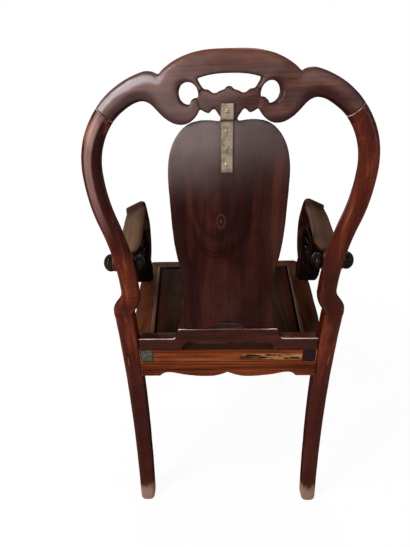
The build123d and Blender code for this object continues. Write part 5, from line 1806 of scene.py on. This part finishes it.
# The hump rail's pale edge colour is a painted highlight.
HUMP_WOOD = HumpFinish(
    "hump_wood", deep=(0.014, 0.003, 0.0015), mid=(0.045, 0.009, 0.0045), light=(0.1, 0.026, 0.011),
    grain=Grain.ALONG_X, rough=0.3, polish=0.16, polish_rough=0.1, edge=(0.24, 0.13, 0.11), edge_wear_and_painted_light=0.5, seed=8.2,
)
RAIL_WOOD = RailFinish(
    "rail_wood", deep=(0.028, 0.005, 0.0016), mid=(0.125, 0.026, 0.0075), light=(0.25, 0.06, 0.018),
    grain=Grain.ALONG_X, contrast=0.32, rough=0.42, polish=0.06, edge=(0.26, 0.1, 0.05), edge_wear_and_painted_light=0.4, seed=2.2,
)
SIDE_WOOD = SeatSideFinish(
    "side_wood", deep=(0.012, 0.003, 0.0012), mid=(0.04, 0.0085, 0.0035), light=(0.11, 0.028, 0.0095),
    grain=Grain.ALONG_Y, rough=0.44, polish=0.04, edge=(0.12, 0.06, 0.035), edge_wear_and_painted_light=0.4, seed=3.1,
)
BEAD_WOOD = WoodFinish(
    "bead_wood", deep=(0.018, 0.008, 0.004), mid=(0.045, 0.022, 0.012), light=(0.085, 0.047, 0.026),
    grain=Grain.ALONG_Y, rough=0.36, polish=0.12, edge=(0.13, 0.08, 0.048), edge_wear_and_painted_light=0.5, seed=9.4,
)
BOARD_WOOD = BoardFinish(
    "board_wood", deep=(0.004, 0.0015, 0.0008), mid=(0.014, 0.006, 0.0032), light=(0.034, 0.016, 0.008),
    grain=Grain.ALONG_Y, rough=0.46, polish=0.03, edge=(0.05, 0.03, 0.02), edge_wear_and_painted_light=0.2, seed=4.4,
)
ARM_WOOD = ArmFinish(
    "arm_wood", deep=(0.008, 0.002, 0.0012), mid=(0.025, 0.007, 0.004), light=(0.06, 0.02, 0.012),
    grain=Grain.ALONG_Y, rough=0.4, polish=0.06, edge=(0.08, 0.035, 0.02), edge_wear_and_painted_light=0.4, seed=5.2,
)
# The scroll's pale edge colour is a painted highlight along its carved bands.
SCROLL_WOOD = WoodFinish(
    "scroll_wood", deep=(0.002, 0.0009, 0.0007), mid=(0.006, 0.0022, 0.0018), light=(0.022, 0.006, 0.004),
    grain=Grain.ALONG_Z, rough=0.5, polish=0.03, polish_rough=0.3, edge=(0.34, 0.29, 0.24),
    edge_wear_and_painted_light=0.85, seed=6.0,
)
BOSS_WOOD = WoodFinish(
    "boss_wood", deep=(0.002, 0.0012, 0.001), mid=(0.006, 0.003, 0.0027), light=(0.016, 0.007, 0.006),
    grain=Grain.ALONG_X, rough=0.35, polish=0.16, polish_rough=0.08, edge=(0.05, 0.03, 0.02),
    edge_wear_and_painted_light=0.3, seed=6.6,
)
PLAIN_WOOD = WoodFinish(
    "plain_wood", deep=(0.03, 0.013, 0.006), mid=(0.085, 0.04, 0.02), light=(0.17, 0.09, 0.05),
    grain=Grain.ALONG_X, rough=0.6, polish=0.0, edge_wear_and_painted_light=0.2, seed=7.0,
)
BRASS = BrassFinish("old_brass", clean=(0.32, 0.25, 0.18), tarnish=(0.1, 0.076, 0.055))


def main() -> None:
    """Builds the chair piece by piece."""
    logging.basicConfig(level=logging.INFO, format="%(message)s")
    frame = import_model()
    Studio().build()
    LOG.info("studio ready")
    hoop = HOOP_WOOD.material()
    RearLegs().build(hoop)
    Back().build(CREST_WOOD, PANEL_WOOD, HUMP_WOOD)
    Arms().build(ARM_WOOD, SCROLL_WOOD, BOSS_WOOD)
    Seat().build(RAIL_WOOD, SIDE_WOOD, BEAD_WOOD, hoop)
    Brass().build(BRASS)
    board, plain = BOARD_WOOD.material(), PLAIN_WOOD.material()
    for name, node in frame["nodes"].items():
        hidden = name.startswith(("seat_batten", "corner", "arm_dowels", "crest_tongues", "crest_pins"))
        if hidden or name.startswith("seat_board"):
            node.data.materials.clear()
            node.data.materials.append(plain if hidden else board)
            LOG.info("%s keeps its shape", name)


if __name__ == "__main__":
    main()
